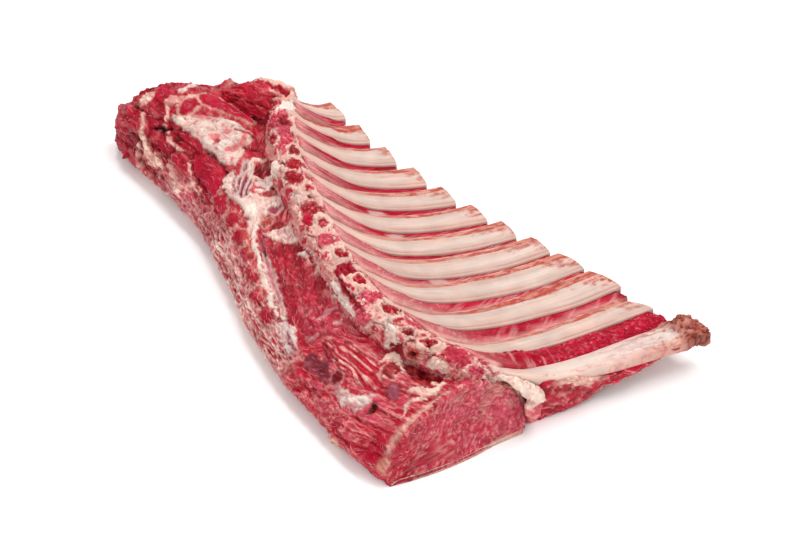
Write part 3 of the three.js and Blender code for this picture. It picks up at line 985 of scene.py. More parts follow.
def bend_section(section, y):
    """A cross-section put in its place along the back, drawn in where the far end rounds off."""
    shrink = 1 - 0.12 * ramp(y, 138, FAR_END) ** 2
    x = lerp(FAR_SLANT_AXIS, section[:, 0], shrink)
    return shaped(x, np.full(len(x), float(y)), section[:, 1] * shrink**0.7)


def back_section(y, skin=SKIN_COLUMNS, hidden=HIDDEN_COLUMNS):
    top = resample(skin_line(y), skin)
    under = under_line(y, hidden[0])
    edge_x = under[-1, 0]
    side = resample(np.array([under[-1], [edge_x + EYE_BULGE, 10], [edge_x + EYE_BULGE - 1, 3.0]]), hidden[1] + 1)[1:]
    back = np.array([side[-1], [edge_x + EYE_BULGE - 4, 1.2], top[0] + [4, 0.6], top[0]])
    bottom = resample(back, hidden[2] + 2)[1:-1]
    return np.vstack([top, under, side, bottom])


def paint_back(surface, seed=11):
    """The muscles, fat and skins of the back meat, from the shoulder end to the cut loin."""
    paint, lift = surface.paint, surface.lift
    brush = Brush(surface, surface.at[:, :2], seed)
    area, stroke, oval, lay = brush.area, brush.stroke, brush.oval, brush.lay
    at = surface.at
    x, y, z = at.T
    paint(1, "lean", turn=80, grain=0.8, web=0.35, crease=0.4)

    # The flank: pale strands over red, and pale arcs over its edge towards the near end.
    flank = ramp(flank_x(y) + 11 - x, -2, 3)
    paint(flank, "crimson 0.5 lean", turn=96, web=0.4, crease=0.35)
    # Streaks over the flank. Their high side is raised and tinted pale, which is partly pale strands and partly painted
    # light, and their low side is painted shade.
    streak = layered(rotated(at, 88), (26, 2.6, 2.2), seed + 5, 3)
    surface.mottle(streak, flank, (0, 0.35, 0.6, "pink 0.35 cream"), (0.15, 0.5, 0.8, "crimson 0.3 deep"))
    lift(flank * 0.6 * streak)
    paint(ramp(z, 8, 2) * flank * 0.5, "cream")
    paint(1, thread=0.25)
    paint(flank, thread=0.6)
    web = "cream 0.6 fat"
    rosy = "cream 0.45 pink"
    away = ramp(y, -62, -50)
    net(surface, 0.95 * flank * away, 97, (19, 4.6, 4.6), 0.42, web, seed + 21)
    net(surface, 0.9 * flank * away, 91, (8, 3, 3), 0.32, web, seed + 22)
    net(surface, 0.5 * (1 - flank) * ramp(-y, 40, 70), 128, (16, 4.6, 4.6), 0.3, rosy, seed + 23)
    net(surface, 0.2 * (1 - flank) * ramp(y, 20, 40), -75, (18, 4.2, 4.2), 0.3, rosy, seed + 24)
    paint(0.5 * flank * (1 - away), "pink")
    arcs = flank * ramp(y, -40, -60) * ramp(y, -128, -112)
    bow = np.sin(2 * np.pi * ((y + 0.35 * z) / 6.5 + 0.5 * layered(at, 9, seed + 6)))
    paint(arcs * ramp(bow, 0.3, 0.85) * 0.85, "cream 0.35 pink")
    lift(arcs * 0.45 * bow)

    # Shoulder end: long bundles on the left, and a smooth fan of muscle.
    bundles = inside(np.minimum(y - 60, -66 - x), 3)
    paint(bundles, "lean 0.6 crimson 0.2 deep", turn=-77, web=0.45, crease=1, grain=1)
    fringe = flank * ramp(z, 27, 19) * ramp(y, 122, 100) * ramp(y, 54, 64)
    paint(fringe * 0.3, "pink")
    net(surface, 0.9 * fringe, -80, (13, 3.8, 3.8), 0.34, lerp(mix(web), mix(rosy), 0.4), seed + 37)
    net(surface, 0.75 * fringe, -72, (7, 2.9, 2.9), 0.3, lerp(mix(web), mix(rosy), 0.6), seed + 38)
    for widths, *path in (
        ((0.8, 1.1, 1, 0.7), (-74, 140), (-79.5, 132), (-82, 122), (-79, 110)),
        ((0.7, 1, 0.8), (-94, 138), (-96.5, 128), (-94, 118)),
        ((0.7, 0.9, 0.7), (-86, 112), (-88, 102), (-85, 92)),
        ((0.6, 0.9, 0.7), (-80, 98), (-83, 90), (-82, 80)),
    ):
        lay(stroke(widths, *path), "cream 0.2 pink", 0.6, 0.9, web=0, crease=0, torn=1.4)
    lay(area((-76, 103), (-70, 97), (-66, 84), (-66, 77), (-74, 70), (-78, 62), (-80, 70), (-80, 82), (-80, 95)),
        "crimson 0.25 deep", 1.2, 3, turn=-70, web=0.15, crease=0, grain=0.8, wet=0.8, groove=0.5)
    # A sunken crease, filled with painted shade.
    lay(stroke((1.2, 2, 1.2), (-85.6, 135), (-82, 131), (-79, 127)), "hollow", -1.6, 1.2)
    lay(stroke((1, 1.4, 1.5, 1.4, 1.2, 1), (-86, 147), (-89, 141), (-91, 137), (-92, 129), (-89.6, 120), (-90, 115.6)),
        "cream", 0.7, 1.2, web=0, crease=0)
    lay(area((-94, 154), (-84, 165), (-88, 152.5)), "lean", 1.2, 2, groove=0.7)
    lay(oval((-80, 154), (5, 3.5), 20), "cream", 0.5, 1.5, crease=0)
    lay(stroke((3.5, 3, 2), (-70, 142), (-57.6, 138.3), (-50, 140)), "cream 0.3 pink", 0.8, 2, grain=0.4)
    lay(oval((-60.5, 147.3), (3, 2), 10), "fat", 1.2, 1.5, crease=0, grain=0.2)
    lay(oval((-54.4, 149.4), (3.2, 2.2), 0), "fat", 1.4, 1.5, crease=0, grain=0.2)

    # The big sheet of fat near the neck.
    sheet = area(
        (-74, 135), (-70, 130), (-61, 124.5), (-50, 117), (-44, 109), (-41, 100), (-43, 94), (-51.5, 88),
        (-61, 79.5), (-65, 84), (-66, 91), (-69, 100), (-68.5, 110), (-72, 119), (-76, 129),
    )
    lay(sheet, 0.86 * mix("cream 0.6 fat"), 1.4, 2.5, turn=-60, grain=0.3, web=0.2, crease=0.15, wet=0.35)
    blush = layered(at, 7, seed + 7)
    held = inside(sheet - 1.5, 1.5)
    surface.mottle(blush, held, (0, 0.4, 0.85, "orange 0.6 pink"), (0.1, 0.6, 0.7, "fat"))
    speck = cells(at, 4.6, seed + 8)[0]
    paint(held * ramp(speck, 0.2, 0.1) * 0.8, "marrow")
    vein = edge(layered(rotated(at, -50), (14, 5, 5), seed + 28, 2), 0.07)
    paint(held * vein * 0.7, "marrow 0.3 pink")
    lift(held * (0.8 * layered(at, 5, seed + 9) - 0.5 * vein))
    lay(oval((-62, 100), (2.4, 1.6), 30), "deep 0.3 pink", -1.4, 1.4)
    lay(stroke((1, 1.3, 1), (-49, 105), (-44, 100), (-40, 97)), "marrow", -0.6, 1)
    lay(stroke((1, 1.4, 1), (-51, 90), (-46, 88), (-42, 86)), "deep", -1.2, 1)
    lay(oval((-63, 133.5), (8.5, 5), 30), "crimson 0.4 deep", 1.3, 3, turn=30, rim="cream",
        web=0, crease=0, grain=0.6, wet=0.8)
    lay(stroke((6, 5, 2), (-51, 134), (-45, 124), (-36, 109)), "crimson 0.1 deep", 1.5, 4, turn=-58,
        web=0.1, crease=0.2, grain=0.7, wet=0.85, rim="cream", rim_width=0.6)

    # Between the fat sheet and the middle: skins, hollow strips and torn bits.
    lay(area((-72, 38), (-69, 57), (-58, 54), (-48, 47), (-48, 42), (-62, 37), (-68, 30)),
        "cream 0.4 fat", 0.8, 2, turn=70, grain=0.35, web=0.2, crease=0.1, torn=2, sheer=0.4)
    skin = area(
        (-63, 77.5), (-64.7, 70.3), (-69.8, 63.3), (-68.9, 56.3), (-63.5, 54.9), (-59.3, 49.3), (-56.4, 45.8),
        (-63.2, 40.9), (-68.3, 35.3), (-74.1, 24.8), (-78.8, 12.9), (-80.7, 11.5), (-77.5, 23.4), (-76, 33.2),
        (-71.9, 38.8), (-72, 47.2), (-72, 54.2), (-74, 63.3), (-73, 71.1), (-68.7, 76),
    )
    lay(skin, "fat 0.25 cream", 1, 2, turn=70, grain=0.3, web=0.2, crease=0.1, torn=1.6, sheer=0.25)
    hollow = area((-53.7, 80.9), (-50.5, 75.9), (-56, 66.1), (-64.5, 56.5), (-70.1, 57), (-68.4, 65.4), (-61.1, 72.5))
    lay(hollow, "lilac 0.3 fat", -1.8, 3, turn=52, rim="fat", rim_width=1, web=0, crease=0.2, grain=0.5, wet=0.8)
    brush.stripes(hollow - 0.8, 54, 3.6, ("lilac 0.5 fat", "deep 0.25 lilac"), 0.5, 31)
    lay(oval((-49.5, 69.5), (6.5, 4), 20), "deep 0.3 marrow", -1.6, 3, grain=1, turn=30)
    lay(oval((-51.5, 60), (6.2, 3.6), -20), "lilac 0.65 fat", 0.7, 2, grain=0.3, wet=0.8, crease=0, web=0)
    for widths, *path in (
        ((1.2, 1.9, 1.6, 1.2), (-57, 67), (-54, 74), (-50, 80), (-43, 77)),
        ((1.1, 1.6, 1.2), (-56, 66), (-51, 64.2), (-43, 64)),
        ((1, 1.4, 1), (-59, 56), (-52, 55), (-45, 59)),
    ):
        lay(stroke(widths, *path), "fat 0.4 cream", 0.8, 1, grain=0.2, torn=1.2)
    lay(area((-57, 53), (-49.3, 56), (-43.4, 56.3), (-44, 50), (-49, 47.9)), "deep 0.45 lean", -0.8, 2,
        grain=0.9, turn=40)
    lay(oval((-55, 51.5), (3, 1.6), 30), "orange 0.4 marrow", 0.3, 1)
    lay(area((-61.9, 40.9), (-56.4, 43.4), (-50.4, 41), (-52, 38), (-58.2, 36)), "lilac 0.35 crimson", -0.6,
        1.5, rim="fat", rim_width=0.9, grain=0.6)
    lay(oval((-63.5, 32.5), (4.8, 3.2), 10), "marrow 0.3 orange", 0.5, 1.5, grit=0.4, rim="cream")
    lay(oval((-61, 27.5), (4.6, 2.2), 10), "marrow", -0.4, 1.5, grit=0.4)
    ragged = area((-56, 35.3), (-47.6, 37.4), (-47.6, 28), (-57, 28.6))
    paint(inside(ragged + brush.ragged, 0.8), "lean")
    brush.stripes(ragged, 40, 2.8, ("pink 0.3 cream", "marrow"), 0.4, 33)

    # The plateau in the middle and the skin along its left.
    plateau = area(
        (-74, 18), (-58, 12), (-52, -2), (-48, -12), (-46, -25), (-46, -38), (-48, -50), (-58, -58), (-70, -62),
        (-85, -58), (-84, -48), (-82, -37), (-82, -22), (-80.5, -12), (-80, -5), (-77, 13),
    )
    lay(plateau, "lean 0.4 crimson 0.22 deep", 1.4, 5, turn=78, grain=0.8, grit=0.5, web=0.12, crease=0.3,
        thread=0.22)
    held = inside(plateau - 1, 2)
    broad = layered(rotated(at, 70), (24, 5, 5), seed + 27, 3)
    surface.mottle(broad, held, (0.1, 0.6, 0.35, "lean 0.4 pink"), (0, 0.5, 0.8, "deep 0.3 crimson"))
    paint(held * ramp(y, -14, -44) * 0.5, "crimson 0.3 lilac")
    lift(0.9 * held * broad)
    lay(area((-70, 26), (-59.4, 26), (-49, 24.5), (-46.7, 17.8), (-48, 8), (-53, 9), (-59, 8), (-63, 13), (-67, 15)),
        "fat 0.3 cream", 1, 2, turn=60, grain=0.3, grit=0, web=0.3, crease=0.2, torn=2.4, sheer=0.45)
    lay(oval((-55, 20), (5.5, 2.4), -15), "lilac 0.45 fat", -0.3, 1, torn=1.5)
    lay(stroke((1, 1.8, 1.6, 1.4, 1.5, 1.2, 0.8),
               (-76, 24), (-80, 12), (-82.6, 2), (-85, -8), (-86.8, -16), (-87.3, -26), (-87, -33)),
        "fat 0.25 cream", 0.8, 1.5, torn=1.3, turn=95, grain=0.3, grit=0, web=0, crease=0)
    lay(stroke((1, 1.7, 1.8, 1.6, 1), (-75.5, 14), (-77.9, 3), (-81, -8), (-83.6, -20), (-85.4, -30)),
        "fascia 0.4 lilac", -0.5, 1, turn=95, grain=0.6, rim="cream 0.5 fat",
        rim_width=0.7, grit=0, web=0, crease=0)
    lay(stroke((1.2, 1.6, 1.2), (-71, 25), (-74, 18), (-75.5, 11)), "deep 0.25 lilac", -1, 1.5)
    for place, radii, turn, stain in (
        ((-79, 60), (9, 4), 72, 0), ((-78, 47), (6, 4), 80, 0.2), ((-80, 33.5), (7, 3.8), 75, 0.8),
        ((-82.5, 21), (6.5, 3.4), 80, 0.9), ((-86.5, 7), (7.5, 3.8), 85, 0.5), ((-89.5, -8), (6.5, 3.6), 88, 0.2),
        ((-91.5, -23), (7, 3.6), 90, 0.1),
    ):
        lump = oval(place, radii, turn)
        lay(lump, "crimson 0.35 deep", 1.3, 2.6, rim="cream 0.3 pink", rim_width=0.6,
            turn=turn, grain=0.9, web=0.25, crease=0, wet=0.7, torn=1.6)
        warm = oval((place[0] + 2.8, place[1] - 1), (radii[0] * 0.7, 1.5), turn)
        paint(0.55 * stain * inside(warm, 1.5), "orange 0.25 marrow")
    lay(stroke((1, 2.4, 2.4, 1.2), (-60, 0), (-56.5, -9), (-54, -17), (-52, -21)), "fat 0.12 lilac",
        0.9, 1.2, grain=0.2, grit=0, web=0, crease=0, torn=1.4)
    lay(stroke((1.2, 3, 2.6, 1.4), (-56, -22), (-57, -29), (-54, -37), (-52.5, -47)), "fat 0.12 lilac",
        0.9, 1.2, grain=0.2, grit=0, web=0, crease=0, torn=1.4)
    lay(stroke((0.7, 0.8, 0.6), (-61, -38), (-59, -42), (-58, -46)), "fat", 0.4, 0.6)
    silver = ramp(layered(at, (7, 4, 4), seed + 39, 3), 0.1, 0.45) * held * ramp(y, -30, -50)
    paint(silver * 0.75, "lilac 0.45 fat", grit=0.1, wet=0.9)
    lay(area((-90.3, -31), (-85.5, -35), (-86, -44.5), (-89, -55), (-93.1, -52), (-93.5, -41)),
        "fat 0.3 lilac", 0.6, 2, turn=80, grain=0.5, torn=1.6, sheer=0.35, web=0.1, crease=0, wet=0.9)
    lay(stroke((0.5, 0.8, 0.5), (-89, -41), (-90.4, -47), (-90, -54)), "lilac 0.3 deep", -0.5, 0.8)
    lay(stroke((0.9, 1.2, 0.9), (-96, -55), (-91, -59), (-86, -64)), "fat", 0.6, 0.8, torn=1.2)

    # The meat swells up to meet the backbone, but not beside its deepest hollows.
    beside = ramp(x - backbone_x(y) + CHINE_WIDTH + 9, 0, 8) * ramp(z, 14, 20)
    lift(4.2 * beside * (1 - ramp(y, -92, -98)))
    bits = ramp(layered(at, 6, seed + 12, 3), 0, 0.35)
    paint(beside * bits * 0.8, "cream 0.25 pink", grit=0.2)

    # Stripes and lobes before the loin.
    short = area((-79, -60.6), (-73.6, -63), (-74, -71), (-77.8, -78), (-81, -74.6), (-81, -67))
    striped = area((-76.5, -68), (-67.5, -70), (-66, -78), (-63.5, -86), (-62.5, -96), (-64.5, -104), (-71.5, -107),
                   (-74.5, -101), (-77, -90), (-78, -78))
    loin = inside(-58 - y, 4) * (1 - inside(striped, 1)) * (1 - inside(short, 1))
    paint(loin, "lean 0.6 crimson", turn=118, grit=0.1, web=0.1, crease=0.25)
    sweep = at + 3 * join(noise(at, 22, seed + 26), noise(at, 22, seed + 36), 0 * x)
    fan = layered(rotated(sweep, 122), (30, 4.2, 4.2), seed + 30, 3)
    surface.mottle(fan, loin, (0.1, 0.6, 0.5, "pink 0.2 crimson"), (0.15, 0.6, 0.6, "crimson 0.4 deep"))
    paint(loin * edge(fan - 0.25, 0.07) * 0.75, "cream 0.3 pink")
    lift(1.1 * loin * fan)
    net(surface, 0.5 * loin, 122, (18, 4.4, 4.4), 0.26, rosy, seed + 25)
    for patch, turn, period, tints in (
        (short, 275, 2.5, ("pink 0.4 cream", "deep 0.4 crimson")),
        (striped, 278, 3.5, ("cream 0.3 pink", "crimson 0.4 lean")),
    ):
        worn = patch + 0.8 * brush.ragged
        paint(inside(worn, 0.8), tints[1], turn=turn, grit=0, web=0.1, crease=0.1, grain=1)
        brush.stripes(worn - 0.5, turn, period, tints, 0.5, 35, long=26)
    lay(stroke((3, 3.6, 3), (-88, -64), (-86, -73), (-86, -82)), "deep 0.2 lilac", -1.2, 3, grain=0.5, torn=1.5)
    lay(oval((-84, -74), (3, 1.6), 80), "deep 0.3 lilac", -0.8, 1.6)
    lay(oval((-82, -85), (4.6, 3.6), 60), "deep", 1.2, 3, groove=0.5, grain=0.5, rim="fascia", rim_width=0.5)
    lay(area((-63.5, -98), (-56, -91.5), (-50, -96), (-53.5, -103), (-61, -107)), "marrow 0.35 deep", 1, 3,
        grit=0.8, grain=0.4, rim="cream", rim_width=0.6)
    lay(stroke((2.2, 3.4, 3, 2), (-84, -93), (-83, -100), (-80.3, -107), (-74, -108)), "fat 0.3 lilac",
        0.6, 2, soft=1.6, torn=2, sheer=0.4, grain=0.3, grit=0, web=0.1, crease=0, wet=0.9)
    lay(stroke((0.8, 1.5, 0.8), (-82, -101), (-79.5, -106), (-75, -108)), "fat", 0.5, 1, soft=1, torn=1)
    # A sunken spot, filled with painted shade.
    lay(oval((-76.6, -114), (3.2, 2), 30), "hollow", -1.2, 2)
    lay(area((-67.5, -111), (-62.5, -107.5), (-60, -112), (-61, -116.5), (-66.5, -118.5)), "lilac 0.5 deep",
        1.4, 3, groove=0.4, grain=0.3, grit=0, web=0, crease=0, wet=0.9)
    pit = area((-50, -98), (-42, -101), (-37, -108), (-37, -118), (-43, -124), (-50, -121), (-53.5, -111))
    lay(pit, "deep 0.5 marrow", -2, 5, grit=0, web=0, grain=0.5)
    # Folds in the pit. Their low sides are painted shade, and their high sides take a warm marrow tint.
    fold = layered(rotated(at, 60), (9, 4, 5), seed + 29, 3)
    surface.mottle(fold, inside(pit - 1), (0, 0.3, 0.8, "marrow 0.3 orange"), (0.1, 0.5, 0.7, "hollow 0.4 deep"))
    lift(1.4 * inside(pit - 1) * fold)
    for widths, *path in (
        ((1.4, 2.4, 2, 1.2), (-59.5, -90), (-54, -90), (-50.5, -95), (-52, -101)),
        ((1.2, 2.2, 2, 1.4), (-55.5, -118), (-52, -124), (-45, -127), (-41, -124)),
        ((0.8, 1.1, 0.8), (-43.7, -119), (-44, -124), (-43, -128)),
        ((0.9, 1, 0.7), (-36, -119), (-32.5, -121), (-30.7, -126.6)),
        ((0.9, 1.2, 0.9, 0.8), (-52.7, -127), (-57, -124), (-60, -123.6), (-66.7, -128.7)),
    ):
        lay(stroke(widths, *path), "cream 0.3 fat", 0.8, 0.9, grain=0.2, grit=0, torn=1.5)
    wedge = inside(-126 - y, 4) * inside(-70 - x, 4) * ramp(z, 30, 20)
    paint(wedge, "crimson", turn=60, grit=0, web=0.15, crease=0.15, wet=0.8)
    tip = np.linalg.norm(at - np.array([-83, -139.5, 11]), axis=1)
    paint(ramp(tip, 7, 3), "orange 0.4 cream")
    scrap = 1 - np.linalg.norm((at - np.array([-94, -105, 5])) / [9, 6.5, 3.6], axis=1) + 0.12 * brush.ragged
    paint(ramp(scrap, -0.06, 0.1), "cream 0.4 orange", grit=0, web=0, crease=0)
    lift(1.6 * ramp(scrap, -0.05, 0.2))
    nub = np.exp(-((np.linalg.norm((at - np.array([-98, 147, 8])) / [3, 1.8, 1.8], axis=1)) ** 2))
    lift(3.6 * nub)
    rim = edge(y - (NEAR_END + NEAR_LEAN * z + 2.2), 1.8) * ramp(z + 6 * brush.ragged, 8, 24)
    paint(rim * 0.9, "cream")
    lift(0.5 * rim)


def make_back_meat():
    step = bpy.context.scene.lamb_sizes.skin_step / MM
    near = NEAR_END + 0.2
    stations = np.linspace(near, FAR_END, int((FAR_END - near) / step))
    rings = [bend_section(back_section(float(y)), y) for y in stations]
    points, groups, _ = closed_tube(rings, 22)
    surface = Surface(points, (0.5, 0.1, 0.1))
    paint_back(surface)
    grow(surface, 11)
    far = ramp(points[:, 1] - FAR_SLANT * (FAR_SLANT_AXIS - points[:, 0]), FAR_END - 2, FAR_END)
    surface.rise += 1.2 * far * layered(points, 9, 21)
    lowest = 0.1 + 0.3 * noise(points, 12, 3) ** 2
    piece = finish_body("back_meat", points, groups, surface, "raw_meat", "lean_meat", "back_muscle", lowest=lowest)
    sizes = bpy.context.scene.lamb_sizes
    make_threads("back_threads", piece, surface, point_normals(points, groups), "fat", ("cream 0.55 pink", "pink"),
                 Density=sizes.threads * 1e4, Length=sizes.thread_length, Radius=sizes.thread_radius, Stray=0.6, Seed=7)


# ---- The cut loin ----
def paint_cut(surface, seed=23):
    """Fine pale-pink grain of the cut eye muscle, with marbling and seams. The fat line below it is the loin fat, a
    piece of its own.
    """
    paint, lift = surface.paint, surface.lift
    x, _, z = surface.at.T
    brush = Brush(surface, join(x, z), seed, 0.7)
    area, stroke, lay = brush.area, brush.stroke, brush.lay
    face = join(x, z, 0 * x)
    surface.laid = face
    paint(1, "lean 0.45 pink", turn=58, grain=1, grit=0.25, web=0, crease=0, wet=0.6)
    tone = layered(face, 11, seed + 3)
    surface.mottle(tone, 1, (0.1, 0.6, 0.6, "pink"), (0.1, 0.6, 0.5, "lean 0.5 crimson"))
    lay(area((-82, 0), (-72, 0), (-66, 12), (-66, 24), (-72, 27), (-80, 12)), "crimson 0.3 lean", 0.2, 2, soft=3)
    bent = rotated(face + 2.2 * join(noise(face, 14, seed + 4), noise(face, 14, seed + 5), 0 * x), 58)
    veins = edge(layered(bent, (22, 5.5, 9), seed + 6, 2), 0.06) * ramp(noise(face, 11, seed + 7), -0.25, 0.3)
    paint(veins * 0.35, "cream")
    small = edge(layered(bent, (8, 2.4, 9), seed + 8, 2), 0.07) * ramp(noise(face, 7, seed + 9), 0, 0.4)
    paint(small * 0.4, "cream")
    hatch = noise(bent, (2.2, 1.3, 9), seed + 11) + 0.35 * noise(face, (1.6, 1.6, 9), seed + 12)
    surface.mottle(hatch, 1, (0.15, 0.5, 0.6, "pink 0.3 cream"), (0.1, 0.45, 0.65, "crimson 0.25 deep"))
    lift(0.22 * hatch)
    lay(stroke((2.2, 2.6, 2.2, 1.6), (-80, 8), (-76, 18), (-66, 26), (-56, 30)), "crimson 0.3 deep", 0, 1,
        soft=2, share=0.7)
    lift(0.25 * layered(face, 6, seed + 10))


def make_loin_cut():
    count = 330
    outline = back_section(NEAR_END, 150, (70, 40, 70))
    outline = resample(np.vstack([outline, outline[:1]]), count + 1)[:-1]
    rings = []
    away = outline - outline.mean(axis=0)
    away /= np.linalg.norm(away, axis=1, keepdims=True)
    for depth, swell in (
        (9, -0.8), (6, -0.3), (4, 0), (2.5, 0.15), (1.2, 0.25), (0.5, 0.25), (0.1, 0.12), (-0.1, -0.15),
    ):
        ring = outline + away * swell
        rings.append(shaped(ring[:, 0], np.full(count, NEAR_END + depth), np.maximum(ring[:, 1], 0.6)))
    points, groups, _ = closed_tube(rings[::-1], 56)
    surface = Surface(points, (0.5, 0.1, 0.1))
    paint_cut(surface)
    grow(surface, 23, surface.laid, 0.06)
    finish_body("loin_cut", points, groups, surface, "cut_meat", "lean_meat", "eye_muscle", push=0.5, lowest=0.3)


def make_fat_cover():
    """The thin fat under the loin, whose front edge shows below the cut."""
    rings = []
    for y in np.linspace(NEAR_END - 0.3, FAR_END - 1, 260):
        left = flank_x(y) + lerp(2.5, 13.0, ramp(y, NEAR_END, -118))
        right = float(backbone_x(y) + eye_reach(y)) - 0.5
        top = join(np.linspace(left, right, 90), np.full(90, 2.7))
        bottom = join(np.linspace(right, left, 40), np.zeros(40))
        rings.append(bend_section(np.vstack([[left - 0.8, 1.4], top, [right + 0.8, 1.4], bottom]), y))
    points, groups, _ = closed_tube(rings, 3)
    surface = Surface(points, "fat")
    surface.paint(1, "cream", turn=85, grain=0.4, grit=0.25)
    surface.paint(ramp(layered(points, 9, 61), 0.1, 0.6) * 0.6, "pink")
    grow(surface, 61)
    finish_body("loin_fat", points, groups, surface, "soft_fat", "fat", "fat_cover", push=0.5)


# ---- Ribs and the meat between them ----
def rib_fields(number, r):
    """Side vector, crown and floor of a rib at distances from the backbone."""
    length = rib_length(number) + RIB_OVERHANG
    head = ramp(-r, -2, 4)
    u = np.clip(r / length, 0, 1)
    wider = (0.5 + 1.5 * u**2) * ramp(r, 10, 34) * (number < 11) - 1.3 * ramp(r, 30, 6)
    half = np.minimum(half_width(number, np.minimum(r, length)) + wider, 0.46 * pitch(number, r))
    fuller = 2.6 * ramp(number, 6, 8) * (number < 11) * ramp(r, 6, 30) * ramp(u, 1.02, 0.75)
    near, far = (half + fuller) / pitch(number, r), half / pitch(number, r)
    spine = (fan_point(number + near, r) + fan_point(number - far, r)) / 2
    side = (fan_point(number + near, r) - fan_point(number - far, r)) / 2
    along = fan_point(number, r + 1) - fan_point(number, r - 1)
    along[:, 2] = 0
    slant = 0.1 * (number < RIBS) * ramp(u, 0.8, 1) * half
    side = side + along * slant[:, None]
    knob = edge(length - r - 5, 8) * (number == RIBS)
    crown = 0.8 + 3.4 * head + 5.0 * knob
    floor = lerp(-RIB_THICKNESS, -np.minimum(10.4, chine_depth(number)), head)
    return spine, side, crown, floor


def rounded_ends(at, reach):
    """Distances along a path and the size there, with its ends rounded off."""
    angle = np.radians([20, 40, 55, 68, 78, 85, 89])
    out, size = reach * np.sin(angle), np.cos(angle)
    return np.r_[at[0] - out[::-1], at, at[-1] + out], np.r_[size[::-1], np.ones(len(at)), size]


def sweep_fields(r, side, crown, floor, size):
    """Fields that a sweep reads, drawn in towards the middle of the section where size is under 1."""
    middle = (crown + floor) / 2
    full = np.clip(size, 0, 1) ** 0.5
    return dict(
        run=r, side=side * MM * full[:, None], crown=(middle + (crown - middle) * full) * MM,
        floor=(middle + (floor - middle) * full) * MM,
    )


rust_of = through(
    (1, 1), (2, 0.85), (3, 0.35), (4, 0.5), (6, 0.65), (8, 0.6), (9, 0.8), (10, 0.95), (11, 0.45), (12, 0.5),
)


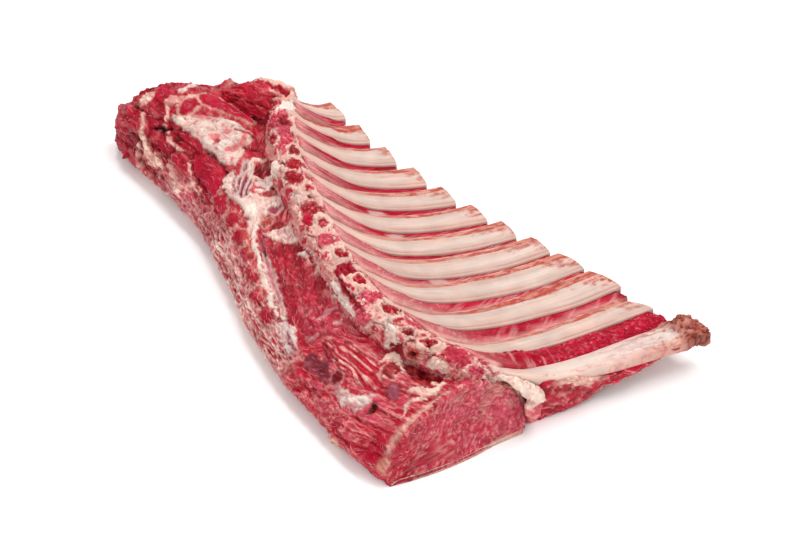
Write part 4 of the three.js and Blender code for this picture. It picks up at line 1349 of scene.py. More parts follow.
def paint_rib(number, surface, out, across, up):
    """Pale skin over a rib, with a painted highlight along its middle, pinker along its far edge, stained towards its
    tip.
    Across runs from -1 at the far edge to 1 at the near one."""
    paint, lift = surface.paint, surface.lift
    length = rib_length(number) + RIB_OVERHANG - (4.5 if number == RIBS - 1 else 0)
    own = noise(np.array([[number * 3.7, 1.3, 0.4]]), 2, 5)[0]
    seed = 100 + number * 7
    share = out / length
    laid = join(out, across * 7, up * 4 + number * 31)
    surface.laid = laid
    surface.turn[:] = 0
    top = ramp(up, 0.2, 0.85)
    rusty = "orange 0.5 marrow"
    rust = float(rust_of(number))
    paint(1, "bone", grain=0.22, web=0, crease=0, wet=0.6)
    # A painted highlight along the crown, just to the near side of the middle.
    paint(edge(across - 0.25, 0.45) * 0.5, "fat 0.3 bone")
    mottle = layered(laid, (26, 5, 5), seed, 3)
    paint(ramp(mottle, 0.1, 0.7) * 0.35, "cream 0.15 orange")
    rough = layered(laid, (7, 2.4, 9), seed + 3, 4, 0.7)
    streak = layered(laid, (40, 1.5, 4), seed + 1, 2)
    surface.mottle(streak, 1, (0.25, 0.7, 0.18, "fascia 0.4 cream"), (0.25, 0.7, 0.3, "fat"))
    root = ramp(out, 30, 3)
    paint(root * 0.5, "cream 0.2 pink")
    lift(top * (0.35 * across - 0.25) * ramp(out, 6, 24))
    # The far slope is a warmer band behind a fine brown line, and lies a little lower.
    rooted = min(26, 0.4 * length)
    fold = -0.42 + 0.16 * noise(laid, (30, 60, 60), seed + 2)
    fold = fold - 0.35 * ramp(out, rooted, 0.25 * rooted)
    if number < 3:
        fold = 0.16 - 0.1 * number + 0.3 * layered(laid, (8, 60, 60), seed + 2)
        rooted = 5
    way = across - fold
    shown = ramp(out, 0.2 * rooted, rooted) * top
    beyond = ramp(-way, -0.05, 0.12) * shown
    paint(beyond * (0.5 + 0.3 * rust + 0.3 * ramp(rough, -0.2, 0.5)), "cream 0.68 orange")
    old = 0.85 if number < 3 else 0.6 * ramp(rust, 0.6, 1)
    paint(beyond * old * ramp(rough, -0.7, 0.2), rusty + (" 0.4 hollow" if number < 3 else " 0.15 hollow"))
    surface.rise -= 0.45 * beyond
    broken = ramp(noise(laid, (16, 60, 60), seed + 31), -0.6, 0.1)
    paint(edge(way, 0.045) * shown * broken * 0.85, "marrow 0.25 hollow")
    paint(edge(way - 0.1, 0.05) * shown * 0.5, "fat")
    surface.rise -= 0.35 * edge(way, 0.05) * shown
    rim = edge(np.abs(across) - 0.93, 0.05) * (up > -0.1)
    paint(rim * 0.65, "cream 0.5 fat")
    lip = edge(across - 0.84, 0.035) * top * broken
    paint(lip * 0.4, rusty)
    wall = ramp(-up, -0.45, 0.1)
    paint(wall * 0.85, "lean 0.35 deep")
    if number == RIBS:
        side_skin = ramp(across, 0.3, 0.7) * ramp(-up, 0.9, 0.4)
        paint(side_skin * 0.9, "fat 0.5 cream")
        paint(side_skin * ramp(share, 0.4, 0.75) * 0.7, "cream 0.45 orange")
        paint(side_skin * ramp(rough, 0.2, 0.6) * 0.5, "orange 0.5 pink")
    # Rust-red scuffs and blood specks along the far side, most of all towards the tip.
    outer = ramp(share, 0.15, 0.65)
    scuff = ramp(rough + 0.4 * outer, 0.18, 0.58) * ramp(-way, -0.25, 0.1) * outer * top
    paint(scuff * min(1, 0.6 + 0.45 * rust + 0.1 * own), rusty + " 0.2 lean", wet=0.3)
    corner = ramp(share - 0.17 * across + 0.12 * rough, 0.84, 1) * top
    paint(corner * (0.3 + 0.5 * rust), "orange 0.25 cream")
    paint(corner * ramp(rough, -0.15, 0.4) * (0.3 + 0.65 * rust), rusty + " 0.3 hollow")
    speck = cells(laid, (1.5, 1.3, 1.3), seed + 11)[0]
    dots = ramp(speck, 0.38, 0.2) * ramp(rough, -0.1, 0.35) * ramp(share, 0.3, 0.6)
    dots = dots * ramp(-across, -0.3, 0.4)
    paint(dots * 0.6, "orange 0.35 marrow")
    lift(0.25 * layered(laid, (24, 7, 12), seed + 8, 2) + 0.05 * noise(laid, (4, 2, 4), seed + 9))
    # The sawn end: a pale rim round red marrow.
    end = ramp(out, length - 0.9, length - 0.2)
    core = ramp(np.hypot(across, up), 0.86, 0.7)
    paint(end * 0.8, "bone 0.3 orange", wet=0.3)
    paint(end * core, "marrow 0.3 orange", grit=0.8)
    surface.rise -= 0.35 * end * core
    if number == RIBS:
        milky = ramp(share, 0.08, 0.3) * ramp(across, 0.7, 0.4) * top
        paint(milky * 0.8, 1.04 * mix("fat 0.12 lilac"))
        bruise = edge(share - 0.62, 0.16) * top
        paint(bruise * ramp(rough, -0.6, 0.3) * 0.75, "lilac 0.5 fat")
        worn = ramp(share, 0.6, 0.85) * ramp(rough + 0.6 * np.abs(across), 0.2, 0.8) * top
        paint(worn * 0.8, "orange 0.3 hollow")
        vein = edge(layered(laid, (40, 3, 30), seed + 12, 2), 0.03) * bruise
        paint(vein * 0.45, "lean")
        knob = ramp(out, length - 19, length - 11)
        bent = surface.at + 2 * join(*[noise(surface.at, 5, seed + k) for k in (13, 14, 15)])
        wave = layered(bent, (6.5, 3.6, 3.6), seed + 16, 2)
        paint(knob * 0.9, "orange 0.4 hollow", wet=0.5)
        patch = ramp(layered(surface.at, 5, seed + 17), 0, 0.5)
        paint(knob * patch * 0.4, "cream 0.5 orange")
        paint(knob * ramp(wave, 0.15, 0.5) * 0.35, "cream 0.5 orange")
        curl = edge(wave, 0.15)
        paint(knob * curl * 0.95, "hollow 0.15 orange")
        lift(knob * (2.2 * np.abs(wave) - 0.6 - 0.7 * curl))
        surface.shade(1 - 0.1 * knob)
    surface.tint *= 0.93
    grow_lightly(surface, seed, laid)


def grow_lightly(surface, seed, laid):
    broad = layered(laid, 12, seed + 20)
    surface.tint *= (1 + 0.08 * broad)[:, None]
    surface.wet = np.clip(surface.wet + 0.3 * layered(laid, 8, seed + 21), 0, 1)
    surface.rise *= bpy.context.scene.lamb_sizes.relief


def make_ribs():
    tree = sweep_tree(materials()["rib_skin"])
    count = bpy.context.scene.lamb_sizes.rib_points
    for number in range(1, RIBS + 1):
        length = rib_length(number) + RIB_OVERHANG - (4.5 if number == RIBS - 1 else 0)
        r, size = rounded_ends(np.arange(-4.0, length - 1.2, 0.75), 1.1)
        spine, side, crown, floor = rib_fields(float(number), r)
        piece = swept_piece(
            f"blade_{number:02d}", tree, spine, partial(paint_rib, number),
            dict(Profile_Points=count, Squareness=0.38, Relief=0.00035, Relief_Size=0.007, Seed=float(number)),
            **sweep_fields(r, side, crown, floor, size),
        )
        finish_piece(piece, "rib_bone", f"rib_{number:02d}")
    bpy.data.node_groups.remove(tree)


def paint_strip(number, surface, out, across, up):
    """Dark meat between two ribs: rosy under a thin skin at its root, crimson further out."""
    paint, lift = surface.paint, surface.lift
    middle = number + 0.5
    length = rib_length(middle)
    late = ramp(number, 3, 9)
    seed = 300 + number * 7
    share = out / length
    laid = join(out, across * 3.2, up * 3 + number * 23)
    surface.laid = laid
    surface.turn[:] = np.radians(12)
    red = lerp(mix("deep 0.6 crimson"), mix("crimson 0.25 deep"), 0.7 * late)
    paint(1, red, grain=0.6, web=0, crease=0, wet=0.7)
    band = layered(rotated(laid, 9), (34, 1.4, 6), seed, 3)
    surface.mottle(band, 1, (0.1, 0.5, 0.4, "lean 0.3 pink"), (0.1, 0.6, 0.6, "deep"))
    # A mauve skin over the roots, with pale lines in it.
    reach = lerp(8, 50, late)
    skin = ramp(out + 8 * noise(laid, (14, 3, 9), seed + 1), reach, 0.4 * reach)
    mauve = "fascia 0.3 lilac 0.6 crimson"
    paint(skin * 0.75, mauve, grain=0.35)
    pale_side = ramp(across + 0.3 * noise(laid, (12, 5, 9), seed + 4), 0, 0.9)
    paint(pale_side * lerp(0.12, 0.6, late) * ramp(share, 0.98, 0.8), "fascia 0.25 cream")
    # Painted shadow along the far side, under the near edge of the rib beyond it.
    paint(ramp(-across, 0.3, 0.9) * 0.5, lerp(red, mix("deep"), 0.5))
    root = ramp(out, 9, 2)
    paint(root * 0.3, "cream 0.4 pink")
    hair = layered(rotated(laid, -16), (20, 0.9, 9), seed + 2, 2)
    outer = ramp(share, 0.2, 0.45) * ramp(across, -0.7, 0.5)
    paint(ramp(hair, 0.15, 0.45) * (0.2 + 0.42 * late) * outer, "fascia 0.2 cream")
    lift(0.2 * ramp(hair, 0.15, 0.45) * outer)
    paint(edge(hair, 0.05) * skin * 0.7, "cream")
    if number in (5, 6, 8):
        spot = in_oval(laid[:, :2], (0.42 * length, 1), (5, 2)) + 0.6 * noise(laid, 3, seed + 3)
        paint(inside(spot, 0.8) * 0.75, "lilac 0.5 fat", grain=0.1)
    near_edge = ramp(across + 0.15 * noise(laid, (8, 9, 9), seed + 7), 0.74, 0.92)
    paint(near_edge * 0.7, "fascia 0.5 cream")
    paint(ramp(share, 0.93, 1) * 0.6, "hollow 0.4 marrow")
    lifted = up > 0.9
    lift(lifted * (0.7 * np.clip(across, 0, 1) ** 2.5 + 0.7 * np.clip(-across, 0, 1) ** 5))
    lift((up > 0.5) * (0.3 * layered(laid, (22, 2.6, 8), seed + 5, 2) + 0.1 * noise(laid, (5, 1.2, 5), seed + 6)))
    if number == RIBS - 1:
        lump = layered(surface.at, 3.2, seed + 9, 3, 0.7)
        bare = ramp(share, 0.12, 0.3)
        paint(bare, "crimson 0.28 deep", grit=0.75)
        surface.mottle(lump, bare, (0.25, 0.6, 0.35, "pink"), (0.1, 0.5, 0.6, "deep"))
        dark = ramp(share, 0.36, 0.24) * ramp(share, 0.03, 0.08)
        paint(dark * 0.9, "crimson 0.35 deep", grit=0.3)
        rays = layered(rotated(laid, -30), (30, 1.6, 9), seed + 10, 2)
        fan = ramp(share, 0.5, 0.3) * ramp(share, 0.1, 0.2)
        paint(ramp(rays, 0.15, 0.4) * fan * 0.6, "fascia 0.4 cream")
        lift((up > 0.5) * 2.4 * np.exp(-(((share - 0.27) / 0.09) ** 2) - (across + 0.5) ** 2))
        lift(bare * (up > 0.5) * (0.9 * lump + 1.3 * edge(across, 0.6)))
    grow_lightly(surface, seed, laid)


def make_rib_meat():
    tree = sweep_tree(materials()["strip_meat"])
    for number in range(1, RIBS):
        middle = number + 0.5
        length = rib_length(middle)
        stop = length - lerp(3.0, 0.8, ramp(number, 7, 9))
        r, size = rounded_ends(np.arange(0.5, stop, 0.8), 1.6)
        low = number + (half_width(number, r) - 1.1) / pitch(number, r)
        high = number + 1 - (half_width(number + 1, r) - 1.1) / pitch(number + 1, r)
        side = (fan_point(high, r) - fan_point(low, r)) / 2
        spine = (fan_point(high, r) + fan_point(low, r)) / 2
        crown, floor = lerp(1.6, 0.2 - STRIP_RECESS, ramp(r, 4, 34)), np.full(len(r), -RIB_THICKNESS)
        piece = swept_piece(
            f"strip_{number:02d}", tree, spine, partial(paint_strip, number),
            dict(Profile_Points=44, Squareness=0.12, Relief=0.0003, Relief_Size=0.006, Seed=20.0 + number),
            **sweep_fields(r, side, crown, floor, size),
        )
        finish_piece(piece, "rib_meat", f"rib_meat_{number:02d}")
    bpy.data.node_groups.remove(tree)


# ---- Outer meat ----
flap_floor = through((0, 0.4), (26, 0.8), (36, 3.5), (50, 6.5), (74, 11), (86, 14), (98, 17), (116, 18.5))


def make_outer_meat():
    """The meat and fat that the blades lie on, seen from outside and beneath."""
    rings = []
    for t in np.linspace(1.1, RIBS + 0.04, 330):
        t = float(t)
        length = rib_length(t)
        tries = np.linspace(0, length, 220)
        p = fan_point(t, tries)
        clear = tries[np.argmax(p[:, 0] > backbone_x(p[:, 1]) + eye_reach(p[:, 1]) + EYE_BULGE + 1.2)]
        reach = np.linspace(min(float(clear), length - 8), length - lerp(1.6, 9, ramp(t, 11.5, 12)), 70)
        top = fan_point(t, reach, -RIB_THICKNESS + 0.4)
        thin = ramp(reach / length, 0.45, 1)
        under = top.copy()
        low = lerp(lerp(0.2, top[:, 2] - 5, thin), flap_floor(reach) - 0.5, ramp(t, 10.5, 12))
        under[:, 2] = np.clip(low, 0.2, top[:, 2] - 1)
        nose = top[-1] + (top[-1] - top[-2]) / np.linalg.norm(top[-1] - top[-2]) * 1.2 - [0, 0, 2.4]
        rings.append(np.vstack([top, [nose], under[::-1]]))
    points, groups, _ = closed_tube(rings, 10)
    surface = Surface(points, "fat")
    paint = surface.paint
    t, _ = fan_place(points[:, 0], points[:, 1])
    paint(1, "fat 0.5 cream", turn=70, grain=0.35, web=0.2, crease=0.25, grit=0.1)
    bare = layered(points, (16, 30, 14), 71, 3)
    paint(ramp(bare, 0.0, 0.45) * 0.8, "lean 0.2 crimson", grain=0.9, crease=0.5)
    edge_on = ramp(t, RIBS - 0.25, RIBS)
    paint(edge_on * 0.8, "lean 0.35 pink", grain=0.6)
    paint(edge_on * ramp(layered(points, (14, 14, 2.2), 73), 0.1, 0.5) * 0.8, "cream")
    surface.rise += 0.7 * layered(points, 12, 72)
    grow(surface, 71)
    surface.rise = np.minimum(surface.rise, 0.5)
    finish_body("outer_meat", points, groups, surface, "raw_meat", "lean_meat", "rib_cover", lowest=0.05)


def make_edge_flap():
    """The loose edge of meat beyond the last rib."""
    begin, stop = 10.0, rib_length(float(RIBS)) - 15
    rings, places = [], []
    for r in np.linspace(begin, stop, 150):
        u = (r - begin) / (stop - begin)
        half = half_width(RIBS, r) - 1.0
        gap = pitch(float(RIBS), r)
        low = RIBS + half / gap
        width = 0.12 * (0.4 + 0.6 * np.sin(np.pi * min(1, 0.3 + u)))
        wave = layered(np.array([[r, 0.3, 0.7]]), 9, 83)[0]
        top = blade_height(float(RIBS), r) - 1.6 - 8 * ramp(r, 26, 10) + 1.6 * wave
        top -= 4.8 * float(ramp(r, 34, 52) * ramp(u, 1.0, 0.7))
        floor = min(flap_floor(r), top - 3)
        ending = ramp(u, 0.8, 1)
        floor, width = lerp(floor, top - 1.5, ending), width * lerp(1, 0.15, ending)
        lobe = float(edge(r - 42, 10))
        floor, width = max(0.4, floor - 3.0 * lobe), width * (1 + 0.6 * lobe)
        outline = through((0, 0.0), (1, 0.6), (2, 1.0), (3, 0.8), (4, 0.35), (5, 0.0))
        heights = through((0, 1.0), (1, 0.97), (2, 0.72), (3, 0.3), (4, 0.05), (5, 0.0))
        k = np.linspace(0, 5, 46)
        across = np.r_[outline(k), -0.5 * np.ones(6)]
        up = np.r_[heights(k), np.linspace(0.05, 0.95, 6)]
        p = fan_point(low + across * width, r)
        p[:, 2] = lerp(floor, top, up)
        rings.append(p)
        places.append(join(np.full(len(up), r), up))
    points, groups, start = closed_tube(rings, 5)
    places = np.array([places[0]] * start + places + [places[-1]] * start).reshape(-1, 2)
    r, up = np.vstack([places, [[begin, 0.5], [stop, 0.5]]]).T
    surface = Surface(points, "lean")
    paint = surface.paint
    paint(1, 1.05 * mix("crimson 0.15 lean"), turn=-18, grain=0.8, web=0.15, crease=0.35, wet=0.8)
    lump = layered(points, (11, 6, 6), 82, 3)
    surface.mottle(lump, 1, (0.1, 0.6, 0.35, "crimson 0.5 pink"), (0.1, 0.6, 0.7, "crimson 0.7 deep"))
    net(surface, 0.7, -18, (13, 4.5, 4.5), 0.2, "cream 0.3 pink", 84)
    frill = up + 0.12 * layered(points, (4, 4, 3), 85, 3)
    paint(ramp(frill, 0.72, 0.84) * ramp(r, 24, 32) * ramp(r, 60, 48), "cream")
    paint(ramp(frill, 0.3, 0.12) * ramp(r, 44, 60) * 0.85, "cream 0.5 orange")
    surface.rise += 1.7 * lump
    grow(surface, 81)
    finish_body("loose_edge", points, groups, surface, "raw_meat", "lean_meat", "edge_flap", lowest=0.05)


def make_end_fat():
    """White fat from the end of the backbone down the side of the cut loin, with a pink nub at its foot."""
    middles = [through(*stops) for stops in (
        ((0, -15), (0.3, -6.1), (0.65, 2), (1, 9.2)), ((0, -131), (0.3, -136.5), (0.65, -140), (1, -142.6)),
        ((0, 41), (0.3, 33.8), (0.65, 26.4), (1, 19)),
    )]
    nub = [through(*stops) for stops in (((0, 2.6), (1, 2.2)), ((0, -140.5), (1, -143)), ((0, 22), (1, 9)))]
    points, groups = np.zeros((0, 3)), []
    for spine, half, thick, count in (
        (middles, through((0, 1.6), (0.3, 2.5), (0.6, 4.2), (0.8, 4.6), (1, 2.2)), 1.3, 120),
        (nub, through((0, 3.0), (0.6, 4.2), (1, 3.6)), 2.6, 60),
    ):
        rings = []
        for s in np.linspace(0, 1, count):
            middle = np.array([curve(s) for curve in spine])
            run = np.array([curve(s + 0.02) - curve(s - 0.02) for curve in spine])
            run /= np.linalg.norm(run)
            side = np.cross(run, np.array([0.2, -0.75, 0.6]))
            side /= np.linalg.norm(side)
            out = np.cross(side, run)
            angle = np.linspace(0, 2 * np.pi, 64, endpoint=False)
            taper = float(ramp(s, -0.04, 0.08) * ramp(s, 1.02, 0.86)) ** 0.5
            width = (float(half(s)) + 0.9 * noise(np.array([[s * 40, 3.3, 0.0]]), 6, 91)[0]) * taper
            rings.append(middle + np.outer(np.cos(angle) * width, side) + np.outer(np.sin(angle) * thick * taper, out))
        tube, faces, _ = closed_tube(rings, 3)
        groups += [group + len(points) for group in faces]
        points = np.vstack([points, tube])
    surface = Surface(points, "fat")
    paint = surface.paint
    white = "fat 0.4 cream"
    paint(1, white, turn=0, grain=0.3, web=0, crease=0, wet=0.6)
    paint(ramp(layered(points, 5, 92), 0.1, 0.6) * 0.5, "cream 0.15 pink")
    foot = ramp(points[:, 2] + 3.0 * layered(points, 4, 95), 20, 17)
    paint(foot, "pink 0.3 orange", grain=0.4, wet=0.8)
    paint(foot * ramp(layered(points, 3, 96), 0.0, 0.4) * 0.6, "cream 0.3 pink")
    paint(ramp(layered(points, (2.4, 4, 6), 94), 0.3, 0.6) * (1 - foot) * 0.4, "pink 0.3 lean")
    surface.rise += (0.8 + 0.7 * foot) * layered(points, 5, 93, 4, 0.6) + 0.3 * foot
    grow(surface, 91)
    finish_body("white_fat", points, groups, surface, "soft_fat", "fat", "end_fat", lowest=0.2)


# ---- Backbone ----
def paint_backbone(surface, t, s, length_at, seed=41):
    """Sawn bone, marrow, meat and fat along the split backbone. t is the rib number and s the distance
    from its right edge, in mm, going left over the top and down the left wall."""
    paint = surface.paint
    brush = Brush(surface, join(length_at(t), s), seed, 0.55)
    lay = brush.lay

    def oval(at, radii, turn=0):
        return brush.oval((float(length_at(at[0])), at[1]), radii, turn)

    def stroke(widths, *path):
        return brush.stroke(widths, *[(float(length_at(a)), b) for a, b in path])

    # Lumps with ragged cream rims round red crumbly middles, and sunken gaps between some of them, darkened with
    # painted shade.
    cream, white = "cream 0.5 fat", "fat 0.2 cream"
    paint(1, "cream 0.25 pink", turn=0, grain=0.35, web=0, crease=0, wet=0.6)
    laid = join(length_at(t), s, 0 * s)
    bent = laid + 2 * join(noise(surface.at, 6, seed + 3), noise(surface.at, 6, seed + 4), 0 * s)
    best, second, own = cells(bent, (9, 6.5, 9), seed + 5)
    gap = second - best + 0.12 * layered(surface.at, 2.6, seed + 6, 3, 0.7)
    core = ramp(gap, 0.2, 0.28)
    for low, high, tint, grit in (
        (0, 0.3, "lean 0.4 marrow", 0.9), (0.3, 0.6, "pink 0.4 lean", 1),
        (0.6, 0.75, "crimson 0.25 deep", 0.3),
    ):
        paint(core * ((own >= low) & (own < high)), tint, grit=grit)
    patchy = layered(surface.at, 4, seed + 1, 3, 0.7)
    paint(ramp(patchy, 0.15, 0.5) * 0.65, "crimson 0.2 deep", grit=0.6)
    paint(ramp(-patchy, 0.3, 0.55) * 0.8, cream, grit=0.2)
    paint(edge(gap - 0.16, 0.07) * 0.5, cream + " 0.2 pink", grit=0)
    surface.rise += 1.6 * ramp(gap, 0, 0.5) - 1.2 + 0.7 * edge(gap - 0.16, 0.07) + 0.5 * patchy
    # Painted shade in the narrowest gaps between the lumps, which also sink.
    split = (1 - ramp(gap, 0, 0.08)) * ramp(noise(surface.at, 8, seed + 2), 0, 0.3)
    paint(split * 0.9, "hollow 0.5 deep", grit=0)
    surface.rise -= 0.9 * split
    paint(ramp(t, 10, 10.6) * ramp(patchy, -0.15, 0.25) * 0.6, "crimson 0.3 lean", grit=0.4)
    wall = ramp(s, -17, -21)
    paint(wall * 0.35, "lean 0.4 pink", grain=0.7)
    shadowed = through((10.4, 0), (10.8, 0.4), (11.9, 0.4), (12.1, 0))(t)
    paint(ramp(s, -24, -28) * 0.85 * shadowed, "hollow")

    # The neck.
    neck = ramp(t, 0.7, 0.3)
    paint(neck, "lean 0.5 crimson", grain=1, grit=0, web=0.6, crease=0.7)
    lay(stroke((3.4, 3.6, 3.2), (-1.4, -2), (-0.6, -2), (0.6, -3)), "cream", 0.8, 1.5, grain=0.3, web=0, torn=1.6)
    lay(stroke((0.9, 1.3, 0.9), (-0.6, -12), (0.1, -13), (0.7, -11)), "cream", 0.6, 1, web=0)
    lay(stroke((0.8, 1.2, 1.2), (-0.2, -18), (0.3, -14), (0.8, -8)), "cream", 0.6, 1, web=0)
    lay(oval((0.95, -6), (4, 4.5)), "cream 0.3 pink", 0.6, 2)
    lay(oval((1.55, -7), (6.5, 7)), "fat", 1.2, 2.5, grain=0.2, grit=0.1, web=0, crease=0, torn=2)
    red, rose = "lean 0.5 marrow", "pink 0.35 lean"
    dark, wet_red = "deep 0.4 marrow", "crimson 0.22 lilac"
    # Place (rib number, distance left), half length and half width, tint, height, crumbs and edge.
    for at, left, long, wide, tint, height, grit, rim in (
        (2.9, 12, 17, 9, rose, 0.6, 1, None), (2.5, 8, 5, 3, dark, 0.3, 0.3, None),
        (3.3, 16, 6, 3.4, red, 0.6, 0.9, cream),
        (4.1, 6, 4.6, 4, dark, 0.5, 0.4, cream), (4.5, 21, 6.5, 4.5, white, 1.4, 0.1, None),
        (4.75, 8, 5.5, 6, red, 0.6, 0.9, cream), (5.35, 12, 6.5, 6, red, 1.4, 1, cream),
        (5.15, 3, 5, 2.8, rose, 0.4, 1, None), (5.72, 5, 3.8, 3, red, 0.2, 0.8, cream),
        (6, 12.5, 4, 6, cream + " 0.25 lilac", 0.8, 0.1, None), (6.72, 9.5, 8, 7, red, 0.8, 1, cream),
        (7.08, 14, 4, 3, "crimson", -0.4, 0.2, None), (8.02, 8.5, 5.5, 8, rose, 1.2, 1, cream),
        (8.1, 26, 7, 5, red, 1.8, 0.9, cream), (9, 8, 6, 6.5, "crimson 0.4 deep", -0.6, 0.2, None),
        (9.82, 9.5, 5.5, 8, rose, 1.2, 1, cream), (10.03, 20, 7, 6, rose, 2.2, 1, cream),
        (10.56, 2, 6.5, 3, wet_red, 0.4, 0, None), (10.72, 10.5, 4.2, 3.6, dark, 0.3, 0.9, cream),
        (10.9, 15, 3.6, 3, dark, 0.3, 0.9, cream), (10.76, 24, 6, 4.5, dark, -1.2, 0, None),
        (10.97, 20.5, 4.8, 4.4, "marrow 0.3 orange", 1.2, 0.6, cream + " 0.4 orange"),
        (11.26, 20.6, 6, 4, cream, 0.8, 0.4, None), (11.42, 7.5, 12, 6, wet_red, 0.4, 0.25, None),
        (11.85, 4, 8, 4, rose, 0.4, 1, cream), (11.95, 12, 5, 4.5, rose, 0.4, 1, cream),
    ):
        lay(oval((at, -left), (long, wide)), tint, height, 2.4, grit=grit, rim=rim, rim_width=0.9, grain=0.4, torn=1.6)
    # A pit in the middle of the ring, filled with painted shade.
    lay(oval((10.97, -20.5), (2, 1.8)), "hollow", -1.4, 1.2, grit=0)
    lay(stroke((2.2, 2.6, 2.4, 1.6), (10.35, -13), (10.6, -16), (10.7, -20.3), (10.62, -26)), white, 0.5, 2, grit=0.2,
        torn=2.2, sheer=0.35)
    lay(stroke((2.2, 2.6, 2.4), (9.1, -22), (9.5, -24), (9.9, -23)), "fat 0.15 lilac", 0.6, 2, grit=0,
        torn=1.6, sheer=0.2)
    lay(stroke((1, 1.7, 1.8, 1.2), (8.95, -15.5), (9.3, -17.5), (9.6, -18.5), (9.95, -17.5)),
        "deep 0.25 crimson", -0.9, 1.8, grit=0, wet=0.9)
    for at, left, long, wide in ((7.31, 6.5, 6.6, 5.6), (8.55, 6.5, 7.2, 5.8), (9.38, 8.2, 6.6, 5.4), (10.2, 7, 8, 5.6),
                                 (11.02, 10.8, 7.2, 5.6)):
        ring = oval((at, -left), (long, wide), 8)
        lay(ring, cream, 1.8, 2.2, grit=0.1, grain=0.2, torn=1.2)
        paint(edge(ring - 0.2 * wide, 0.5) * 0.5, "orange 0.4 cream")
        lay(ring - 0.44 * wide, "marrow 0.4 crimson", -1, 1, grit=0.9, wet=0.9, torn=1)
    # Small pits, filled with painted shade.
    for at, r, size in ((2.05, -3, 2), (4.55, -15, 1.8), (6.1, -7, 1.7)):
        lay(oval((at, r), (size, size * 0.8), 30), "hollow", -1.3, 1.5, grit=0)
    margin = edge(s + 0.6, 1.5) * ramp(t, 0.8, 1.4)
    paint(margin * 0.85, cream, grit=0)


def make_backbone():
    along = np.linspace(-1.6, 12.22, 1200)
    edge_line = fan_point(along, 0 * along)
    run = np.r_[0, np.cumsum(np.linalg.norm(np.diff(edge_line, axis=0), axis=1))]

    def length_at(t):
        return np.interp(t, along, run)

    stations = np.interp(np.arange(0, run[-1], 0.62), run, along)
    neck_bulge = through((-1.6, 6.5), (-1.24, 10), (-0.5, 9.3), (0.2, 7), (0.55, 3.8), (0.9, 0.5), (1.5, 0))
    rise_along = through((-1.6, 0.1), (-1.2, 1), (11.8, 1), (12.22, 0.4))
    rings, marks = [], []
    for t in stations:
        t = float(t)
        width = CHINE_WIDTH + 1.5 + neck_bulge(t)
        wobble = layered(np.array([[t * 9, 0.3, 0.6]]), 7, 44)[0]
        width += 2.4 * wobble
        rise = CHINE_RISE * rise_along(t) + 0.5 * noise(np.array([[t * 9, 4.4, 2.6]]), 6, 45)[0]
        depth = float(lerp(5.0, chine_depth(t), ramp(t, 0.2, 0.9)))
        section = np.array([
            [-width - 2, -depth], [-width - 1.8, -0.5 * depth], [-width - 0.8, -0.2 * depth],
            [-0.97 * width, 0.25 * rise], [-0.8 * width, 0.85 * rise], [-0.5 * width, rise],
            [-0.22 * width, 0.9 * rise], [-0.07 * width, 0.5 * rise],
            [0.4, -0.4 * rise], [0.5, -0.5 * depth], [0.4, -depth],
        ])
        knots = np.r_[0, np.cumsum(np.linalg.norm(np.diff(section, axis=0), axis=1))]
        smooth = [through(*zip(knots, section[:, k])) for k in (0, 1)]
        dense = np.linspace(0, knots[-1], 200)
        top = resample(join(smooth[0](dense), smooth[1](dense)), 84)
        bottom = join(np.linspace(0.4, -width - 2, 9)[1:-1], np.full(7, -depth))
        outline = np.vstack([top, bottom])
        rings.append(fan_point(t, outline[:, 0], outline[:, 1]))
        walk = np.r_[0, np.cumsum(np.linalg.norm(np.diff(top, axis=0), axis=1))]
        right = np.argmax(top[:, 0] > -0.4)
        marks.append(join(np.full(len(outline), t), np.r_[walk - walk[right], bottom[:, 0]]))
    points, groups, start = closed_tube(rings, 10)
    marks = np.array([marks[0]] * start + marks + [marks[-1]] * start).reshape(-1, 2)
    marks = np.vstack([marks, [[-1.6, -8]], [[12.22, -8]]])
    surface = Surface(points, (0.8, 0.6, 0.5))
    laid = join(length_at(marks[:, 0]), marks[:, 1], 0 * marks[:, 0])
    surface.laid = laid
    paint_backbone(surface, marks[:, 0], marks[:, 1], length_at)
    grow(surface, 41, laid + np.array([0, 0, 1.0]) * points[:, 2:3] * 0.3, 0.12)
    vertebrae = [f"vertebra_{number:02d}" for number in range(1, RIBS)]
    finish_body("backbone", points, groups, surface, "sawn_bone", "marrow_bone", "neck_end", *vertebrae)


# ---- Stage ----
def look_from(made, place, way):
    """Puts a lamp or a camera at a place and turns it to look that way."""
    made.location = place
    made.rotation_euler = way.to_track_quat("-Z", "Y").to_euler()


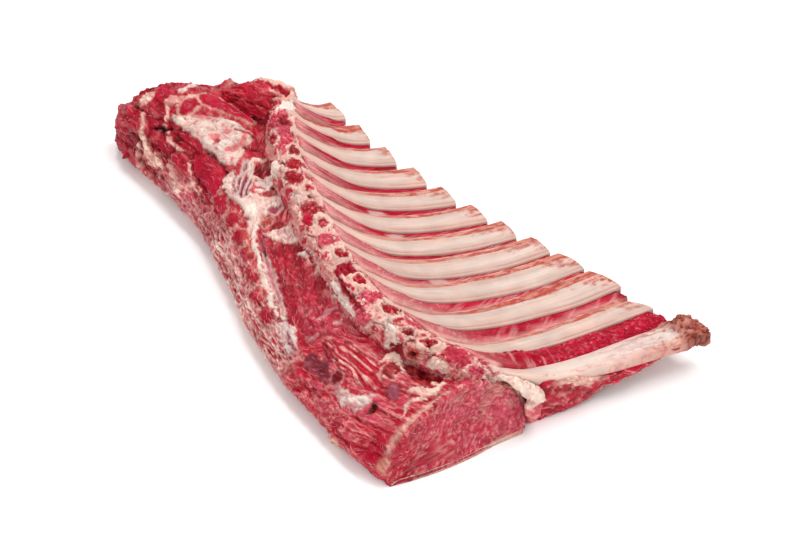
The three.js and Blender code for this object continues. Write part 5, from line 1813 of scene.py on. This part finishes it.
def make_stage():
    stage = bpy.context.scene.lamb_stage
    mesh = bpy.data.meshes.new("table_top")
    corners = [(-TABLE, -TABLE, 0), (TABLE, -TABLE, 0), (TABLE, TABLE, 0), (-TABLE, TABLE, 0)]
    mesh.from_pydata(corners, [], [(0, 1, 2, 3)])
    paper = bpy.data.materials.new("white_table")
    paper.use_nodes = True
    skin = paper.node_tree.nodes["Principled BSDF"].inputs
    skin["Base Color"].default_value = (0.97, 0.96, 0.955, 1)
    skin["Roughness"].default_value = 0.7
    skin["Specular IOR Level"].default_value = 0.2
    mesh.materials.append(paper)
    floor = add_object("table_top", mesh)

    world = bpy.data.worlds.new("soft_sky")
    world.use_nodes = True
    sky = world.node_tree.nodes["Background"].inputs
    sky["Color"].default_value = (1.0, 1.0, 1.0, 1)
    sky["Strength"].default_value = stage.sky
    world.cycles_visibility.glossy = False
    bpy.context.scene.world = world
    bpy.context.scene.view_settings.view_transform = "Standard"
    # Place, share of the lamp's power, size in metres, and whether wet meat mirrors it.
    for name, place, share, size, shiny in (
        ("over_lamp", (0.8, -0.2, 1.7), 1, 1.1, False),
        ("bright_lamp", (0.2, 0.9, 1.4), 0.4, 0.35, True),
        ("side_lamp", (-1.5, -1.1, 1.1), 0.5, 0.8, False),
    ):
        light = bpy.data.lights.new(name, "AREA")
        light.energy, light.size = stage.lamp * share, size
        lamp = add_object(name, light)
        look_from(lamp, place, -Vector(place))
        lamp.visible_glossy = shiny

    camera = bpy.data.cameras.new("camera")
    camera.lens, camera.sensor_width, camera.clip_start = stage.lens, 36, 0.05
    seen = add_object("camera", camera)
    turn, rise = stage.azimuth, stage.elevation
    back = Vector((np.sin(turn) * np.cos(rise), -np.cos(turn) * np.cos(rise), np.sin(rise)))
    aim = Vector((-DRAWING_MIDDLE * MM).tolist())
    look_from(seen, aim + back * stage.distance, -back)
    bpy.context.scene.camera = seen


# ---- Operators ----
class LAMB_OT_back_meat(bpy.types.Operator):
    """Builds the meat of the back with its muscles, skins and fat"""

    bl_idname = "lamb.back_meat"
    bl_label = "Back Meat"

    def execute(self, context):
        make_back_meat()
        return {"FINISHED"}


class LAMB_OT_loin(bpy.types.Operator):
    """Builds the cut face of the loin and the fat under it"""

    bl_idname = "lamb.loin"
    bl_label = "Cut Loin"

    def execute(self, context):
        make_loin_cut()
        make_fat_cover()
        make_end_fat()
        return {"FINISHED"}


class LAMB_OT_ribs(bpy.types.Operator):
    """Sweeps the twelve ribs"""

    bl_idname = "lamb.ribs"
    bl_label = "Ribs"

    def execute(self, context):
        make_ribs()
        return {"FINISHED"}


class LAMB_OT_rib_meat(bpy.types.Operator):
    """Sweeps the meat between the ribs"""

    bl_idname = "lamb.rib_meat"
    bl_label = "Rib Meat"

    def execute(self, context):
        make_rib_meat()
        return {"FINISHED"}


class LAMB_OT_outer_meat(bpy.types.Operator):
    """Builds the outer meat under the ribs and its loose edge"""

    bl_idname = "lamb.outer_meat"
    bl_label = "Outer Meat"

    def execute(self, context):
        make_outer_meat()
        make_edge_flap()
        return {"FINISHED"}


class LAMB_OT_backbone(bpy.types.Operator):
    """Builds the split backbone and the stub of neck"""

    bl_idname = "lamb.backbone"
    bl_label = "Backbone"

    def execute(self, context):
        make_backbone()
        return {"FINISHED"}


class LAMB_OT_stage(bpy.types.Operator):
    """Adds the table, the lights and the camera"""

    bl_idname = "lamb.stage"
    bl_label = "Stage"

    def execute(self, context):
        make_stage()
        return {"FINISHED"}


OPERATORS = (
    LAMB_OT_back_meat, LAMB_OT_loin, LAMB_OT_ribs, LAMB_OT_rib_meat, LAMB_OT_outer_meat, LAMB_OT_backbone,
    LAMB_OT_stage,
)


class LAMB_PT_rack(bpy.types.Panel):
    """Sizes, colours and pieces of the rack"""

    bl_idname = "LAMB_PT_rack"
    bl_label = "Raw Rack of Lamb"
    bl_space_type = "VIEW_3D"
    bl_region_type = "UI"
    bl_category = "Lamb"

    def draw(self, context):
        for settings in (context.scene.lamb_sizes, context.scene.lamb_colours, context.scene.lamb_stage):
            box = self.layout.box()
            for key in type(settings).__annotations__:
                box.prop(settings, key)
        for operator in OPERATORS:
            self.layout.operator(operator.bl_idname)


SETTINGS = (("lamb_colours", LambColours), ("lamb_sizes", LambSizes), ("lamb_stage", LambStage))


def register():
    for name, group in SETTINGS:
        bpy.utils.register_class(group)
        setattr(bpy.types.Scene, name, bpy.props.PointerProperty(type=group))
    for cls in (*OPERATORS, LAMB_PT_rack):
        bpy.utils.register_class(cls)


def unregister():
    for cls in (LAMB_PT_rack, *reversed(OPERATORS)):
        bpy.utils.unregister_class(cls)
    for name, group in reversed(SETTINGS):
        delattr(bpy.types.Scene, name)
        bpy.utils.unregister_class(group)


def main():
    register()
    bpy.ops.lamb.back_meat()
    bpy.ops.lamb.loin()
    bpy.ops.lamb.ribs()
    bpy.ops.lamb.rib_meat()
    bpy.ops.lamb.outer_meat()
    bpy.ops.lamb.backbone()
    bpy.ops.lamb.stage()


if __name__ == "__main__":
    main()
